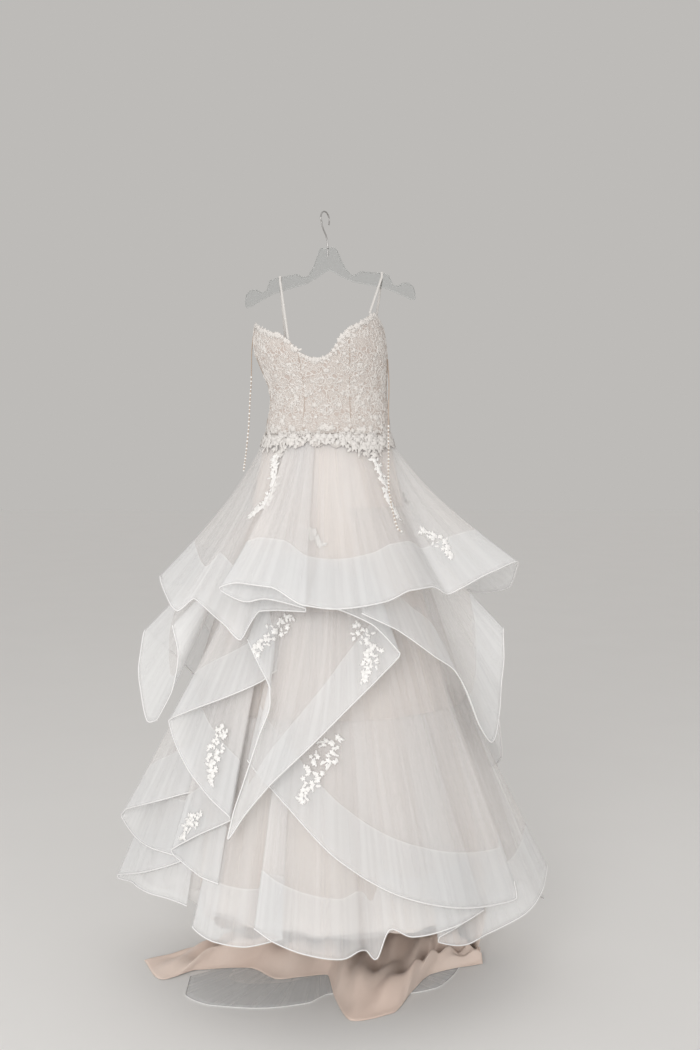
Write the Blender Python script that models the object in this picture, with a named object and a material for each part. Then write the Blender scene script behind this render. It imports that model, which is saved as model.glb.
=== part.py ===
"""A tiered tulle wedding dress on a clear plastic hanger.

Metres, +Z up, +X to the viewer's right, the front of the dress towards -Y. The origin is the
point where the hook rests on its rod. Every cloth piece is a thin wall. Angles go round the
body from the front: 0 is the front, 90 the +X side, 180 the back, -90 the -X side.
"""

import math
from collections import namedtuple

import bmesh
import bpy
import numpy as np
from mathutils import Vector
from mathutils.bvhtree import BVHTree

# Driving sizes -----------------------------------------------------------------------------

SEAM_GAP = 0.0003
BODICE_WALL = 0.003
TULLE_WALL = 0.0012
SATIN_WALL = 0.0016
LACE_WALL = 0.0014
WAIST = -0.545
FLOOR = -1.900
BODY_CENTRE_X = 0.005
TOP_LIFT = 0.0022  # a flounce's stitched edge off the layer below, middle to middle
WAIST_STEP = 0.0021  # between the stacked layers at the waist
PLY_STEP = 0.0026  # between the layers of a pleat where it's stitched
PLEATS = 12
FOLD_EASE = 1.8  # how late a hem's folds start below the stitched edge

HANGER_TILT = math.radians(-2.65)
HANGER_THICK = 0.007
HANGER_NECK = (0.007, 0.0, -0.086)
WIRE_RADIUS = 0.0018
ROD_RADIUS = 0.0165
HOOK_TURN = math.radians(57)
STEM_IN_NECK = 0.022
STRAP_WIDE = 0.006
STRAP_THICK = 0.0013
STRAP_FOOT = 0.012  # how far a strap is sewn down inside the bodice
STRAP_CLEAR = 0.0008  # for the lean of the arm's top under a strap's width
WALL_TURN = 0.95  # how much of an angle round the body the bodice's oval wall turns
BEAD_CORD = 0.003
BEAD_STEPS = 34

BODICE_LEVELS, BODICE_STEP = 7, 6.2  # levels down the bodice, and degrees between its columns
SATIN_STEP, NET_STEP = 7.5, 5  # degrees between a lining's columns
TRAIN_COLUMNS, TRAIN_LEVELS = 30, 9
NET_TRAIN_COLUMNS, NET_TRAIN_LEVELS = 28, 3
NET_TRAIN_INNER = 0.45  # where the net train starts, as a share of the way to its edge
TUCK_FROM, TRAIN_TUCK = 150, 0.2  # the angle past which the train runs forward before it spreads
TRAIN_FLAT = 0.13  # the share of the train beside the lining's foot that stays flat
SATIN_FOOT = -1.894  # where the lining stands on the train

SPRIG_RINGS, SPRIG_AROUND, SPRIG_LOBES, SPRIG_WAVE = (0.25, 1.0), 15, 5, 0.28
SPRIG_RAISES = 16  # the most steps of a seam's gap that a sprig is raised to clear its panel
LACE_POINTS = 16  # degrees between the points of the bodice lace's lower edge
LACE_DEEP, LACE_POINT = 0.018, 0.016  # how deep that edge runs, and its points below it

Section = namedtuple("Section", "height left right front back pleat")
Hem = namedtuple("Hem", "ply root seam angle height lift")
Edge = namedtuple("Edge", "angle height")
Arm = namedtuple("Arm", "out top bottom")
Spread = namedtuple("Spread", "x y rise")
Sprig = namedtuple("Sprig", "name panel angle height wide tall lean")

# The net underskirt, which every tier is measured from: how far it reaches from the middle.
SKIRT = (
    Section(-0.545, 0.153, 0.155, 0.095, 0.085, 0.0),
    Section(-0.70, 0.190, 0.190, 0.130, 0.105, 0.0),
    Section(-0.90, 0.250, 0.250, 0.185, 0.135, 0.0),
    Section(-1.10, 0.315, 0.315, 0.240, 0.165, 0.0),
    Section(-1.30, 0.375, 0.380, 0.290, 0.190, 0.002),
    Section(-1.50, 0.430, 0.445, 0.325, 0.215, 0.004),
    Section(-1.75, 0.495, 0.520, 0.356, 0.240, 0.006),
)
# The satin lining is narrower, and its back runs on over the floor.
SATIN = (
    Section(-0.545, 0.1508, 0.1528, 0.0928, 0.0828, 0.0),
    Section(-0.70, 0.182, 0.182, 0.123, 0.099, 0.001),
    Section(-0.90, 0.225, 0.225, 0.165, 0.122, 0.003),
    Section(-1.30, 0.290, 0.315, 0.250, 0.165, 0.007),
    Section(-1.70, 0.320, 0.395, 0.305, 0.200, 0.010),
    Section(-1.80, 0.325, 0.400, 0.312, 0.205, 0.010),
)
# The bodice, wider at the bust and drawn in above the waist.
BODICE = (
    Section(-0.250, 0.172, 0.128, 0.105, 0.085, 0.0),
    Section(-0.280, 0.180, 0.139, 0.116, 0.088, 0.0),
    Section(-0.313, 0.182, 0.144, 0.122, 0.090, 0.0),
    Section(-0.348, 0.178, 0.148, 0.122, 0.090, 0.0),
    Section(-0.385, 0.163, 0.149, 0.113, 0.088, 0.0),
    Section(-0.424, 0.146, 0.146, 0.101, 0.085, 0.0),
    Section(-0.456, 0.140, 0.147, 0.095, 0.083, 0.0),
    Section(-0.486, 0.142, 0.151, 0.093, 0.083, 0.0),
    Section(-0.511, 0.149, 0.154, 0.094, 0.084, 0.0),
    Section(-0.545, 0.153, 0.155, 0.095, 0.085, 0.0),
)
NECKLINE = (
    Edge(-180, -0.430), Edge(-150, -0.420), Edge(-120, -0.375), Edge(-98, -0.305),
    Edge(-80, -0.272), Edge(-66, -0.284), Edge(-48, -0.300), Edge(-37, -0.306),
    Edge(-29, -0.324), Edge(-22, -0.349), Edge(-14, -0.363), Edge(-3, -0.365),
    Edge(4, -0.351), Edge(10, -0.331), Edge(15, -0.311), Edge(23, -0.292),
    Edge(35, -0.279), Edge(47, -0.264), Edge(62, -0.251), Edge(76, -0.276),
    Edge(96, -0.330), Edge(120, -0.385), Edge(150, -0.422), Edge(180, -0.430),
)
# Panels round the bodice, by the angle at which each starts. The last ends where the first starts.
BODICE_PANELS = (
    ("bodice_front", -22), ("bodice_cup_right", 22), ("bodice_side_right", 78),
    ("bodice_back_right", 112), ("bodice_back_left", 180), ("bodice_side_left", 248),
    ("bodice_cup_left", 282),
)

# Hems, one row for each turn of the edge. ply is the layer of the pleat, 0 for the innermost.
# root and seam are the angle and height at which the cloth under that turn is stitched to the
# underskirt. angle, height and lift are the hem's own place, with its lift off the underskirt.
WAIST_SEAM = WAIST - 0.0008
TIER_ONE = (
    Hem(0, -84, WAIST_SEAM, -83, -0.895, 0.170), Hem(0, -75, WAIST_SEAM, -73, -0.930, 0.150),
    Hem(0, -62, WAIST_SEAM, -60, -0.962, 0.136), Hem(0, -60, WAIST_SEAM, -59, -0.935, 0.106),
    Hem(0, -53, WAIST_SEAM, -51, -0.950, 0.100), Hem(0, -41, WAIST_SEAM, -37, -0.980, 0.107),
    Hem(0, -34, WAIST_SEAM, -30, -1.012, 0.098), Hem(0, -33, WAIST_SEAM, -29, -0.980, 0.080),
    Hem(0, -30, WAIST_SEAM, -27, -0.952, 0.070), Hem(0, -22, WAIST_SEAM, -19, -0.947, 0.070),
    Hem(0, -10, WAIST_SEAM, -7, -0.946, 0.086), Hem(1, -10, WAIST_SEAM, -7, -0.938, 0.094),
    Hem(1, -21, WAIST_SEAM, -21, -0.918, 0.106), Hem(1, -29, WAIST_SEAM, -30, -0.926, 0.110),
    Hem(1, -35, WAIST_SEAM, -40, -0.906, 0.118), Hem(2, -35, WAIST_SEAM, -40, -0.897, 0.128),
    Hem(2, -29, WAIST_SEAM, -32, -0.883, 0.134), Hem(2, -18, WAIST_SEAM, -18, -0.887, 0.140),
    Hem(1.6, -8, WAIST_SEAM, -7, -0.925, 0.134), Hem(1, 4, WAIST_SEAM, 5, -0.934, 0.126),
    Hem(0.5, 20, WAIST_SEAM, 21, -0.922, 0.122), Hem(0, 30, WAIST_SEAM, 31, -0.900, 0.125),
    Hem(0, 41, WAIST_SEAM, 42, -0.897, 0.120), Hem(0, 51, WAIST_SEAM, 52, -0.920, 0.105),
    Hem(0, 57, WAIST_SEAM, 57, -0.906, 0.130), Hem(0, 67, WAIST_SEAM, 66, -0.876, 0.180),
    Hem(0, 78, WAIST_SEAM, 77, -0.853, 0.238), Hem(0, 84, WAIST_SEAM, 84, -0.885, 0.225),
    Hem(0, 92, WAIST_SEAM, 92, -0.930, 0.200), Hem(0, 107, WAIST_SEAM, 108, -0.955, 0.150),
    Hem(0, 125, WAIST_SEAM, 126, -0.940, 0.100), Hem(0, 145, WAIST_SEAM, 144, -0.960, 0.110),
    Hem(0, 165, WAIST_SEAM, 166, -0.945, 0.085), Hem(0, 185, WAIST_SEAM, 184, -0.970, 0.105),
    Hem(0, 205, WAIST_SEAM, 206, -0.950, 0.085), Hem(0, 225, WAIST_SEAM, 226, -0.965, 0.110),
    Hem(0, 245, WAIST_SEAM, 244, -0.940, 0.120), Hem(0, 262, WAIST_SEAM, 262, -0.925, 0.155),
    Hem(0, 276, WAIST_SEAM, 277, -0.895, 0.170),
)
TIER_TWO = (
    Hem(0, 16, -0.72, 13, -0.948, 0.102), Hem(0, 26, -0.72, 25, -0.986, 0.102),
    Hem(0, 38, -0.72, 40, -1.057, 0.092), Hem(0, 46, -0.72, 49, -1.095, 0.084),
    Hem(0, 52, -0.72, 54, -1.150, 0.078), Hem(0, 58, -0.72, 57, -1.230, 0.072),
    Hem(0, 64, -0.72, 63, -1.280, 0.070), Hem(0, 70, -0.72, 75, -1.245, 0.075),
    Hem(0, 76, -0.72, 85, -1.176, 0.098), Hem(0, 82, -0.72, 86, -1.100, 0.130),
    Hem(0, 88, -0.72, 86, -1.030, 0.150), Hem(0, 94, -0.72, 94, -1.050, 0.150),
    Hem(0, 104, -0.72, 106, -1.200, 0.110), Hem(0, 115, -0.72, 112, -1.400, 0.085),
    Hem(0, 124, -0.72, 122, -1.435, 0.070), Hem(0, 140, -0.72, 142, -1.330, 0.045),
    Hem(0, 160, -0.72, 160, -1.250, 0.060), Hem(0, 180, -0.72, 180, -1.290, 0.040),
    Hem(0, 200, -0.72, 200, -1.240, 0.060), Hem(0, 220, -0.72, 220, -1.290, 0.045),
    Hem(0, 240, -0.72, 240, -1.180, 0.075), Hem(0, 258, -0.72, 260, -1.080, 0.130),
    Hem(0, 270, -0.72, 277, -1.030, 0.165), Hem(0, 276, -0.72, 281, -1.110, 0.155),
    Hem(0, 282, -0.72, 282, -1.180, 0.130), Hem(0, 287, -0.72, 286, -1.245, 0.100),
    Hem(0, 291, -0.72, 291, -1.235, 0.085), Hem(0, 295, -0.72, 298, -1.160, 0.085),
    Hem(0, 299, -0.72, 300, -1.070, 0.100), Hem(0, 303, -0.72, 296, -1.000, 0.125),
)
FRONT_CASCADE = (
    Hem(0, -31, -0.84, -31, -1.018, 0.060), Hem(0, -27, -0.84, -25, -1.064, 0.062),
    Hem(0, -24, -0.84, -19, -1.119, 0.061), Hem(0, -22, -0.84, -18.5, -1.163, 0.060),
    Hem(0, -20.5, -0.84, -21, -1.222, 0.060), Hem(0, -19, -0.84, -24, -1.321, 0.062),
    Hem(0, -17.5, -0.84, -26, -1.392, 0.064), Hem(0, -16, -0.84, -26.5, -1.447, 0.066),
    Hem(0, -13, -0.84, -22, -1.388, 0.066), Hem(0, -7, -0.84, -16, -1.326, 0.066),
    Hem(0, 0, -0.84, -6, -1.250, 0.068), Hem(0, 9, -0.84, 7, -1.160, 0.071),
    Hem(0, 19, -0.84, 19, -1.090, 0.074), Hem(0, 26, -0.84, 26.5, -1.050, 0.078),
    Hem(1, 26, -0.84, 26.5, -1.042, 0.084), Hem(1, 17, -0.84, 17, -0.975, 0.086),
    Hem(1, 6, -0.84, 5, -0.943, 0.074), Hem(1, -5, -0.84, -8, -0.931, 0.056),
)
RIGHT_CASCADE = (
    Hem(0, -25, -0.96, -27, -1.290, 0.018), Hem(0, -18, -0.96, -18, -1.338, 0.028),
    Hem(0, -8, -0.96, -8, -1.401, 0.036), Hem(0, 4, -0.96, 4, -1.488, 0.045),
    Hem(0, 12, -0.96, 12, -1.536, 0.052), Hem(0, 20, -0.96, 20, -1.572, 0.058),
    Hem(0, 32, -0.96, 32, -1.605, 0.062), Hem(0, 44, -0.96, 45, -1.628, 0.064),
    Hem(0, 54, -0.96, 54.5, -1.633, 0.061), Hem(0, 56, -0.96, 57, -1.600, 0.050),
)
LEFT_CASCADE = (
    Hem(0.8, -22, -0.90, -20, -1.088, 0.018), Hem(2.2, -27, -0.90, -24, -1.110, 0.036),
    Hem(3, -35, -0.90, -36, -1.149, 0.066), Hem(3, -48, -0.90, -50, -1.190, 0.076),
    Hem(3, -56, -0.90, -60, -1.223, 0.078), Hem(2, -56, -0.90, -60, -1.240, 0.070),
    Hem(2, -46, -0.90, -47, -1.319, 0.060), Hem(1.6, -35, -0.90, -35, -1.374, 0.054),
    Hem(1.2, -29, -0.90, -28, -1.405, 0.051), Hem(0.5, -29, -0.90, -28, -1.415, 0.044),
    Hem(0.9, -39, -0.90, -39, -1.462, 0.046), Hem(1, -47, -0.90, -48.5, -1.510, 0.050),
    Hem(0, -47, -0.90, -48.5, -1.522, 0.043), Hem(0, -37, -0.90, -36, -1.553, 0.036),
    Hem(0, -31, -0.90, -30, -1.560, 0.033),
)
SIDE_CASCADE = (
    Hem(3, -47, -1.14, -45, -1.374, 0.022), Hem(3, -53, -1.14, -52, -1.392, 0.036),
    Hem(3, -61, -1.14, -61, -1.420, 0.062), Hem(3, -76, -1.14, -78, -1.472, 0.092),
    Hem(3, -80, -1.14, -83, -1.500, 0.092), Hem(2, -80, -1.14, -83, -1.512, 0.084),
    Hem(2, -72, -1.14, -72, -1.527, 0.062), Hem(2, -57, -1.14, -56, -1.527, 0.040),
    Hem(2, -50, -1.14, -47, -1.528, 0.033), Hem(1, -50, -1.14, -47, -1.540, 0.026),
    Hem(1, -62, -1.14, -61, -1.590, 0.038), Hem(1, -77, -1.14, -80, -1.645, 0.068),
    Hem(0, -77, -1.14, -80, -1.656, 0.060), Hem(0, -71, -1.14, -70, -1.640, 0.042),
    Hem(0, -55, -1.14, -53, -1.636, 0.020), Hem(0, -46, -1.14, -43, -1.641, 0.012),
)
BOTTOM_TIER = (
    Hem(0, -31, -1.20, -31, -1.640, 0.010), Hem(0, -36, -1.20, -36.5, -1.658, 0.026),
    Hem(1, -36, -1.20, -36.5, -1.667, 0.034), Hem(1, -29, -1.20, -29, -1.684, 0.038),
    Hem(1, -20, -1.20, -20, -1.688, 0.036), Hem(1, -12, -1.20, -11, -1.668, 0.024),
    Hem(2, -12, -1.20, -11, -1.658, 0.032), Hem(2, -17, -1.20, -17.5, -1.645, 0.046),
    Hem(3, -17, -1.20, -17.5, -1.638, 0.056), Hem(3, -12, -1.20, -12, -1.660, 0.063),
    Hem(2.6, -6, -1.20, -6, -1.674, 0.066), Hem(2, 4, -1.20, 4, -1.689, 0.062),
    Hem(1.5, 8, -1.20, 8, -1.681, 0.050), Hem(1, 10, -1.20, 10, -1.688, 0.036),
    Hem(1, 12.5, -1.20, 12.5, -1.709, 0.034), Hem(1.5, 16, -1.20, 16, -1.644, 0.044),
    Hem(2, 21, -1.20, 21, -1.660, 0.052), Hem(2, 31, -1.20, 32, -1.649, 0.056),
    Hem(2, 41, -1.20, 43, -1.636, 0.054), Hem(1, 41, -1.20, 43, -1.643, 0.044),
    Hem(1, 36, -1.20, 36, -1.658, 0.036), Hem(1, 30, -1.20, 29, -1.678, 0.029),
    Hem(0, 30, -1.20, 29, -1.692, 0.021), Hem(0, 37, -1.20, 37, -1.712, 0.024),
    Hem(0, 46, -1.20, 46, -1.701, 0.034), Hem(0, 57, -1.20, 57, -1.677, 0.056),
    Hem(0, 71, -1.20, 71, -1.648, 0.074), Hem(0, 84, -1.20, 86, -1.640, 0.070),
    Hem(0, 96, -1.20, 98, -1.690, 0.050),
)
BOTTOM_BACK = (
    Hem(0, 98, -1.20, 88, -1.735, 0.034), Hem(0, 105, -1.20, 98, -1.750, 0.040),
    Hem(0, 112, -1.20, 108, -1.730, 0.034), Hem(0, 124, -1.20, 122, -1.780, 0.022),
    Hem(0, 140, -1.20, 140, -1.800, 0.014), Hem(0, 158, -1.20, 158, -1.810, 0.020),
    Hem(0, 178, -1.20, 178, -1.812, 0.014), Hem(0, 198, -1.20, 198, -1.810, 0.020),
    Hem(0, 218, -1.20, 218, -1.800, 0.014), Hem(0, 236, -1.20, 236, -1.780, 0.024),
    Hem(0, 246, -1.20, 248, -1.740, 0.032), Hem(0, 254, -1.20, 258, -1.690, 0.038),
)
# The root angles at which a tier's side seams divide it.
TIER_ONE_SPLITS = (92,)
TIER_TWO_SPLITS = (98, 200)

NET_SEAM = 80  # the angle of the underskirt's seam on the +X side
UNDERSKIRT_HEM = (
    Edge(-100, -1.600), Edge(-70, -1.600), Edge(-40, -1.640), Edge(-10, -1.665),
    Edge(10, -1.680), Edge(30, -1.660), Edge(60, -1.650), Edge(80, -1.640),
    Edge(140, -1.700), Edge(180, -1.720), Edge(220, -1.700), Edge(260, -1.600),
)
# The satin's hem is clear of the floor in front; behind, its foot stands on the floor.
SATIN_HEM = (
    Edge(-90, -1.700), Edge(-50, -1.690), Edge(0, -1.685), Edge(40, -1.700), Edge(90, -1.720),
    Edge(98, SATIN_FOOT), Edge(228, SATIN_FOOT), Edge(240, -1.870), Edge(262, -1.800),
    Edge(270, -1.700),
)
SATIN_SEAMS = (-90, 90, 180)  # the angles at which the lining's panels start

# Where the train's edge lies on the floor, from the +X side round the front to the -X side,
# with the height of the ridges between the edge and the lining's foot.
SATIN_TRAIN = (
    Spread(0.402, -0.030, 0.000), Spread(0.335, -0.050, 0.012), Spread(0.262, -0.085, 0.026),
    Spread(0.212, -0.165, 0.035), Spread(0.165, -0.258, 0.030), Spread(0.062, -0.290, 0.028),
    Spread(0.024, -0.190, 0.035), Spread(0.005, -0.085, 0.040), Spread(-0.060, -0.095, 0.036),
    Spread(-0.122, -0.105, 0.036), Spread(-0.195, -0.050, 0.040), Spread(-0.325, -0.060, 0.040),
    Spread(-0.410, -0.106, 0.012), Spread(-0.470, -0.012, 0.000),
)
TRAIN_FROM, TRAIN_TO = 98, 222  # the angles of the lining's foot that the train runs on from
NET_TRAIN = (
    Spread(0.350, 0.075, 0.0), Spread(0.362, 0.020, 0.0), Spread(0.322, -0.086, 0.0),
    Spread(0.272, -0.148, 0.0), Spread(0.200, -0.172, 0.0), Spread(0.100, -0.165, 0.0),
    Spread(0.010, -0.175, 0.0), Spread(-0.040, -0.216, 0.0), Spread(-0.150, -0.238, 0.0),
    Spread(-0.275, -0.224, 0.0), Spread(-0.338, -0.178, 0.0), Spread(-0.340, -0.090, 0.0),
)
TRAIN_MIDDLE = (-0.02, 0.10)

# The hanger's half outline, from the neck to the tip of an arm.
HANGER_ARM = (
    Arm(0.000, 0.000, -0.055), Arm(0.018, 0.000, -0.064), Arm(0.023, -0.006, -0.068),
    Arm(0.031, -0.0275, -0.073), Arm(0.041, -0.050, -0.078), Arm(0.055, -0.068, -0.085),
    Arm(0.065, -0.068, -0.088), Arm(0.078, -0.060, -0.091), Arm(0.131, -0.0675, -0.104),
    Arm(0.1475, -0.073, -0.110), Arm(0.157, -0.098, -0.115), Arm(0.168, -0.100, -0.120),
    Arm(0.182, -0.093, -0.127), Arm(0.196, -0.094, -0.135), Arm(0.207, -0.104, -0.138),
    Arm(0.211, -0.119, -0.132),
)

# Each strap: how far out it hangs on the arm, and the angles of its feet on the bodice.
STRAPS = (("strap_left", -0.121, -31, -139), ("strap_right", 0.130, 59, 134))

# Strings of beads that hang loose at the sides.
LEFT_BEADS = (
    (-0.1790, 0.0080, -0.3000), (-0.1835, 0.0050, -0.3450), (-0.1840, 0.0000, -0.4100),
    (-0.1870, -0.0080, -0.4600), (-0.1890, -0.0200, -0.5200), (-0.1930, -0.0420, -0.5800),
    (-0.1955, -0.0900, -0.6330),
)
RIGHT_BEADS = (
    (0.1542, -0.0200, -0.3600), (0.1575, -0.0250, -0.4200), (0.1560, -0.0400, -0.4800),
    (0.1555, -0.0560, -0.5400), (0.1545, -0.0900, -0.6000), (0.1530, -0.1390, -0.6700),
    (0.1620, -0.1880, -0.7300), (0.1720, -0.2120, -0.7650), (0.1800, -0.2160, -0.7700),
)

SPRIGS = (
    Sprig("sprig_high_right", "tier_one_front", 39, -0.672, 0.050, 0.130, -0.35),
    Sprig("sprig_wing_right", "tier_one_front", 57, -0.800, 0.050, 0.070, -0.30),
    Sprig("sprig_left", "front_cascade", -21, -1.012, 0.042, 0.080, 0.30),
    Sprig("sprig_middle", "front_cascade", 12, -1.035, 0.050, 0.110, 0.0),
    Sprig("sprig_low", "right_cascade", -2, -1.298, 0.060, 0.140, 0.38),
)


# Materials ---------------------------------------------------------------------------------

def material(name, colour, rough, metal=0.0, alpha=1.0):
    """A Principled material in the piece's own colour."""
    made = bpy.data.materials.new(name)
    made.use_nodes = True
    shader = made.node_tree.nodes["Principled BSDF"]
    shader.inputs["Base Color"].default_value = (*colour, 1.0)
    shader.inputs["Roughness"].default_value = rough
    shader.inputs["Metallic"].default_value = metal
    shader.inputs["Alpha"].default_value = alpha
    return made


def materials():
    return {
        "lace": material("ivory_lace", (0.86, 0.80, 0.75), 0.75),
        "illusion": material("nude_net", (0.78, 0.62, 0.52), 0.7),
        "satin": material("blush_satin", (0.82, 0.70, 0.64), 0.35),
        "net": material("ivory_net", (0.88, 0.86, 0.85), 0.6, alpha=0.6),
        "applique": material("white_applique", (0.93, 0.92, 0.91), 0.7),
        "plastic": material("clear_plastic", (0.85, 0.87, 0.88), 0.1, alpha=0.4),
        "chrome": material("hook_chrome", (0.75, 0.75, 0.76), 0.15, metal=1.0),
        "beads": material("bead_string", (0.88, 0.84, 0.80), 0.3),
    }


# Curves and surfaces -----------------------------------------------------------------------

def smooth_rows(rows, at):
    """Points of a smooth curve through the rows, at row positions such as 2.25."""
    rows = np.asarray(rows, float)
    ends = np.vstack([2 * rows[0] - rows[1], rows, 2 * rows[-1] - rows[-2]])
    at = np.clip(np.asarray(at, float), 0, len(rows) - 1)
    first = np.minimum(at.astype(int), len(rows) - 2)
    share = (at - first)[:, None]
    before, start, end, after = (ends[first + k] for k in range(4))
    out, into = (end - before) / 2, (after - start) / 2
    limit = 1.2 * np.abs(end - start)
    out, into = np.clip(out, -limit, limit), np.clip(into, -limit, limit)
    two, three = share**2, share**3
    return (
        (2 * three - 3 * two + 1) * start + (three - 2 * two + share) * out
        + (3 * two - 2 * three) * end + (three - two) * into
    )


def level(sections, column, height):
    """A section's measure at this height, between its rows."""
    heights = [-section.height for section in sections]
    measures = [getattr(section, column) for section in sections]
    return np.interp(-np.asarray(height), heights, measures)


def ring_point(sections, angle, height, lift):
    """The point of a ring round the body, in metres, as an array (..., 3)."""
    turn = np.radians(angle)
    side, fore = np.sin(turn), np.cos(turn)
    out = lift + level(sections, "pleat", height) * np.cos(PLEATS * turn)
    beside = np.where(side > 0, level(sections, "right", height), level(sections, "left", height))
    along = np.where(fore > 0, level(sections, "front", height), level(sections, "back", height))
    return np.stack(
        [BODY_CENTRE_X + (beside + out) * side, -(along + out) * fore,
         height * np.ones_like(side)], -1
    )


def spaced(rows, columns, finest=24):
    """Row positions for the columns: close together along the curve and at its tight turns."""
    fine = np.linspace(0, len(rows) - 1, finest * len(rows))
    points = smooth_rows(rows, fine)
    run = np.concatenate([[0], np.cumsum(np.linalg.norm(np.diff(points, axis=0), axis=1))])
    measure = run / run[-1] + fine / fine[-1]
    return np.interp(np.linspace(0, measure[-1], columns), measure, fine)


def hem_place(values):
    """The hem's own points, from the columns of its rows."""
    return ring_point(SKIRT, values[:, 3], values[:, 4], values[:, 5])


def row_steps(rows, reach):
    """Row positions for the columns: one at every row, and more between rows far apart."""
    spots = hem_place(np.asarray(rows, float))
    at = [0.0]
    for k, apart in enumerate(np.linalg.norm(np.diff(spots, axis=0), axis=1)):
        steps = max(1, math.ceil(apart / reach))
        at += [k + (n + 1) / steps for n in range(steps)]
    return at


def flounce_grid(hem, reach, levels, drape, top_lift=TOP_LIFT):
    """Points [column, level] of a flounce, from its stitched edge down to its hem."""
    values = smooth_rows(hem, row_steps(hem, reach))
    ply, root, seam, angle, height, lift = values.T
    stitched = top_lift + ply * PLY_STEP
    grid = []
    for share in np.linspace(0, 1, levels):
        grid.append(ring_point(
            SKIRT,
            root + (angle - root) * share**FOLD_EASE,
            seam + (height - seam) * share,
            stitched + (lift - stitched) * share**drape,
        ))
    return np.stack(grid, 1), values


def trimmed(grid):
    """The grid with its two side edges drawn in by half a seam's gap."""
    grid = grid.copy()
    for edge, inner in ((0, 1), (-1, -2)):
        step = grid[inner] - grid[edge]
        length = np.linalg.norm(step, axis=-1, keepdims=True)
        grid[edge] += step / length * SEAM_GAP / 2
    return grid


def unit(vectors):
    """The vectors at length 1."""
    return vectors / np.maximum(np.linalg.norm(vectors, axis=-1, keepdims=True), 1e-12)


def wall_normals(grid, ring=False):
    """Mitred normals of a grid of points. In a ring, the last column lies on the first."""
    down = np.gradient(grid, axis=1)
    faces = unit(np.cross(unit(np.diff(grid, axis=0)), unit(down[1:] + down[:-1])))
    before, after = (faces[-1:], faces[:1]) if ring else (faces[:1], faces[-1:])
    into = np.concatenate([before, faces])
    onward = np.concatenate([faces, after])
    normal = unit(into + onward)
    mitre = np.sum(normal * onward, axis=-1, keepdims=True)
    return normal / np.maximum(mitre, 0.6)


# Solids ------------------------------------------------------------------------------------

def finish(name, mesh_maker, coat):
    """A named object from a bmesh, with its material and smooth shading."""
    mesh = bpy.data.meshes.new(name)
    mesh_maker.to_mesh(mesh)
    mesh_maker.free()
    mesh.shade_smooth()
    mesh.materials.append(coat)
    made = bpy.data.objects.new(name, mesh)
    bpy.context.scene.collection.objects.link(made)
    return made


def cloth(name, grid, wall, coat, normals=None):
    """A closed wall of this thickness, half on each side of the grid's points."""
    normals = wall_normals(grid) if normals is None else normals
    return closed_wall(name, grid + normals * wall / 2, grid - normals * wall / 2, coat)


def closed_wall(name, front_skin, back_skin, coat):
    """A closed body between two skins, each a grid of points [column, level]."""
    columns, levels = front_skin.shape[:2]
    maker = bmesh.new()
    front, back = (
        [[maker.verts.new(point) for point in column] for column in skin]
        for skin in (front_skin, back_skin)
    )
    for i in range(columns - 1):
        for j in range(levels - 1):
            a, b = (i, j), (i + 1, j)
            c, d = (i + 1, j + 1), (i, j + 1)
            maker.faces.new([front[p][q] for p, q in (a, b, c, d)])
            maker.faces.new([back[p][q] for p, q in (d, c, b, a)])
    rim = [(i, 0) for i in range(columns)]
    rim += [(columns - 1, j) for j in range(1, levels)]
    rim += [(i, levels - 1) for i in range(columns - 2, -1, -1)]
    rim += [(0, j) for j in range(levels - 2, 0, -1)]
    for (i, j), (k, l) in zip(rim, rim[1:] + rim[:1]):
        maker.faces.new([front[i][j], back[i][j], back[k][l], front[k][l]])
    bmesh.ops.triangulate(maker, faces=maker.faces)
    if maker.calc_volume(signed=True) < 0:
        bmesh.ops.reverse_faces(maker, faces=maker.faces)
    return finish(name, maker, coat)


def tube(name, points, radius, coat, resolution=2):
    """A round wire or cord along the points, closed at both ends."""
    curve = bpy.data.curves.new(name, "CURVE")
    curve.dimensions = "3D"
    curve.bevel_depth = radius
    curve.bevel_resolution = resolution
    curve.use_fill_caps = True
    line = curve.splines.new("POLY")
    line.points.add(len(points) - 1)
    for spot, place in zip(line.points, points):
        spot.co = (*place, 1.0)
    curve.materials.append(coat)
    made = bpy.data.objects.new(name, curve)
    bpy.context.scene.collection.objects.link(made)
    return made


def divided(names, grid, cuts, wall, coat, ring=False):
    """A long wall, divided at these columns into named pieces with a seam's gap between."""
    normals = wall_normals(grid, ring)
    return [
        cloth(name, trimmed(grid[first:last + 1]), wall, coat, normals[first:last + 1])
        for name, first, last in zip(names, cuts, cuts[1:])
    ]


def ribbon(name, path, wide, thick, coat):
    """A flat band along a path in a plane of nearly constant X, wide along X."""
    path = np.asarray(path, float)
    run = np.gradient(path, axis=0)
    run /= np.linalg.norm(run, axis=1, keepdims=True)
    across = np.array([1.0, 0.0, 0.0])
    out = np.cross(across, run)
    out /= np.linalg.norm(out, axis=1, keepdims=True)
    maker = bmesh.new()
    rings = []
    for point, normal in zip(path, out):
        corners = [
            point + sx * across * wide / 2 + sn * normal * thick / 2
            for sx, sn in ((-1, -1), (1, -1), (1, 1), (-1, 1))
        ]
        rings.append([maker.verts.new(corner) for corner in corners])
    for ring, after in zip(rings, rings[1:]):
        for k in range(4):
            n = (k + 1) % 4
            maker.faces.new([ring[k], ring[n], after[n], after[k]])
    maker.faces.new(rings[0][::-1])
    maker.faces.new(rings[-1])
    bmesh.ops.triangulate(maker, faces=maker.faces)
    if maker.calc_volume(signed=True) < 0:
        bmesh.ops.reverse_faces(maker, faces=maker.faces)
    return finish(name, maker, coat)


# Hanger ------------------------------------------------------------------------------------

def hanger_place(out, height):
    """A point of the tilted hanger's middle plane."""
    x, y, z = HANGER_NECK
    cos, sin = math.cos(HANGER_TILT), math.sin(HANGER_TILT)
    return x + out * cos + height * sin, y, z - out * sin + height * cos


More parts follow.
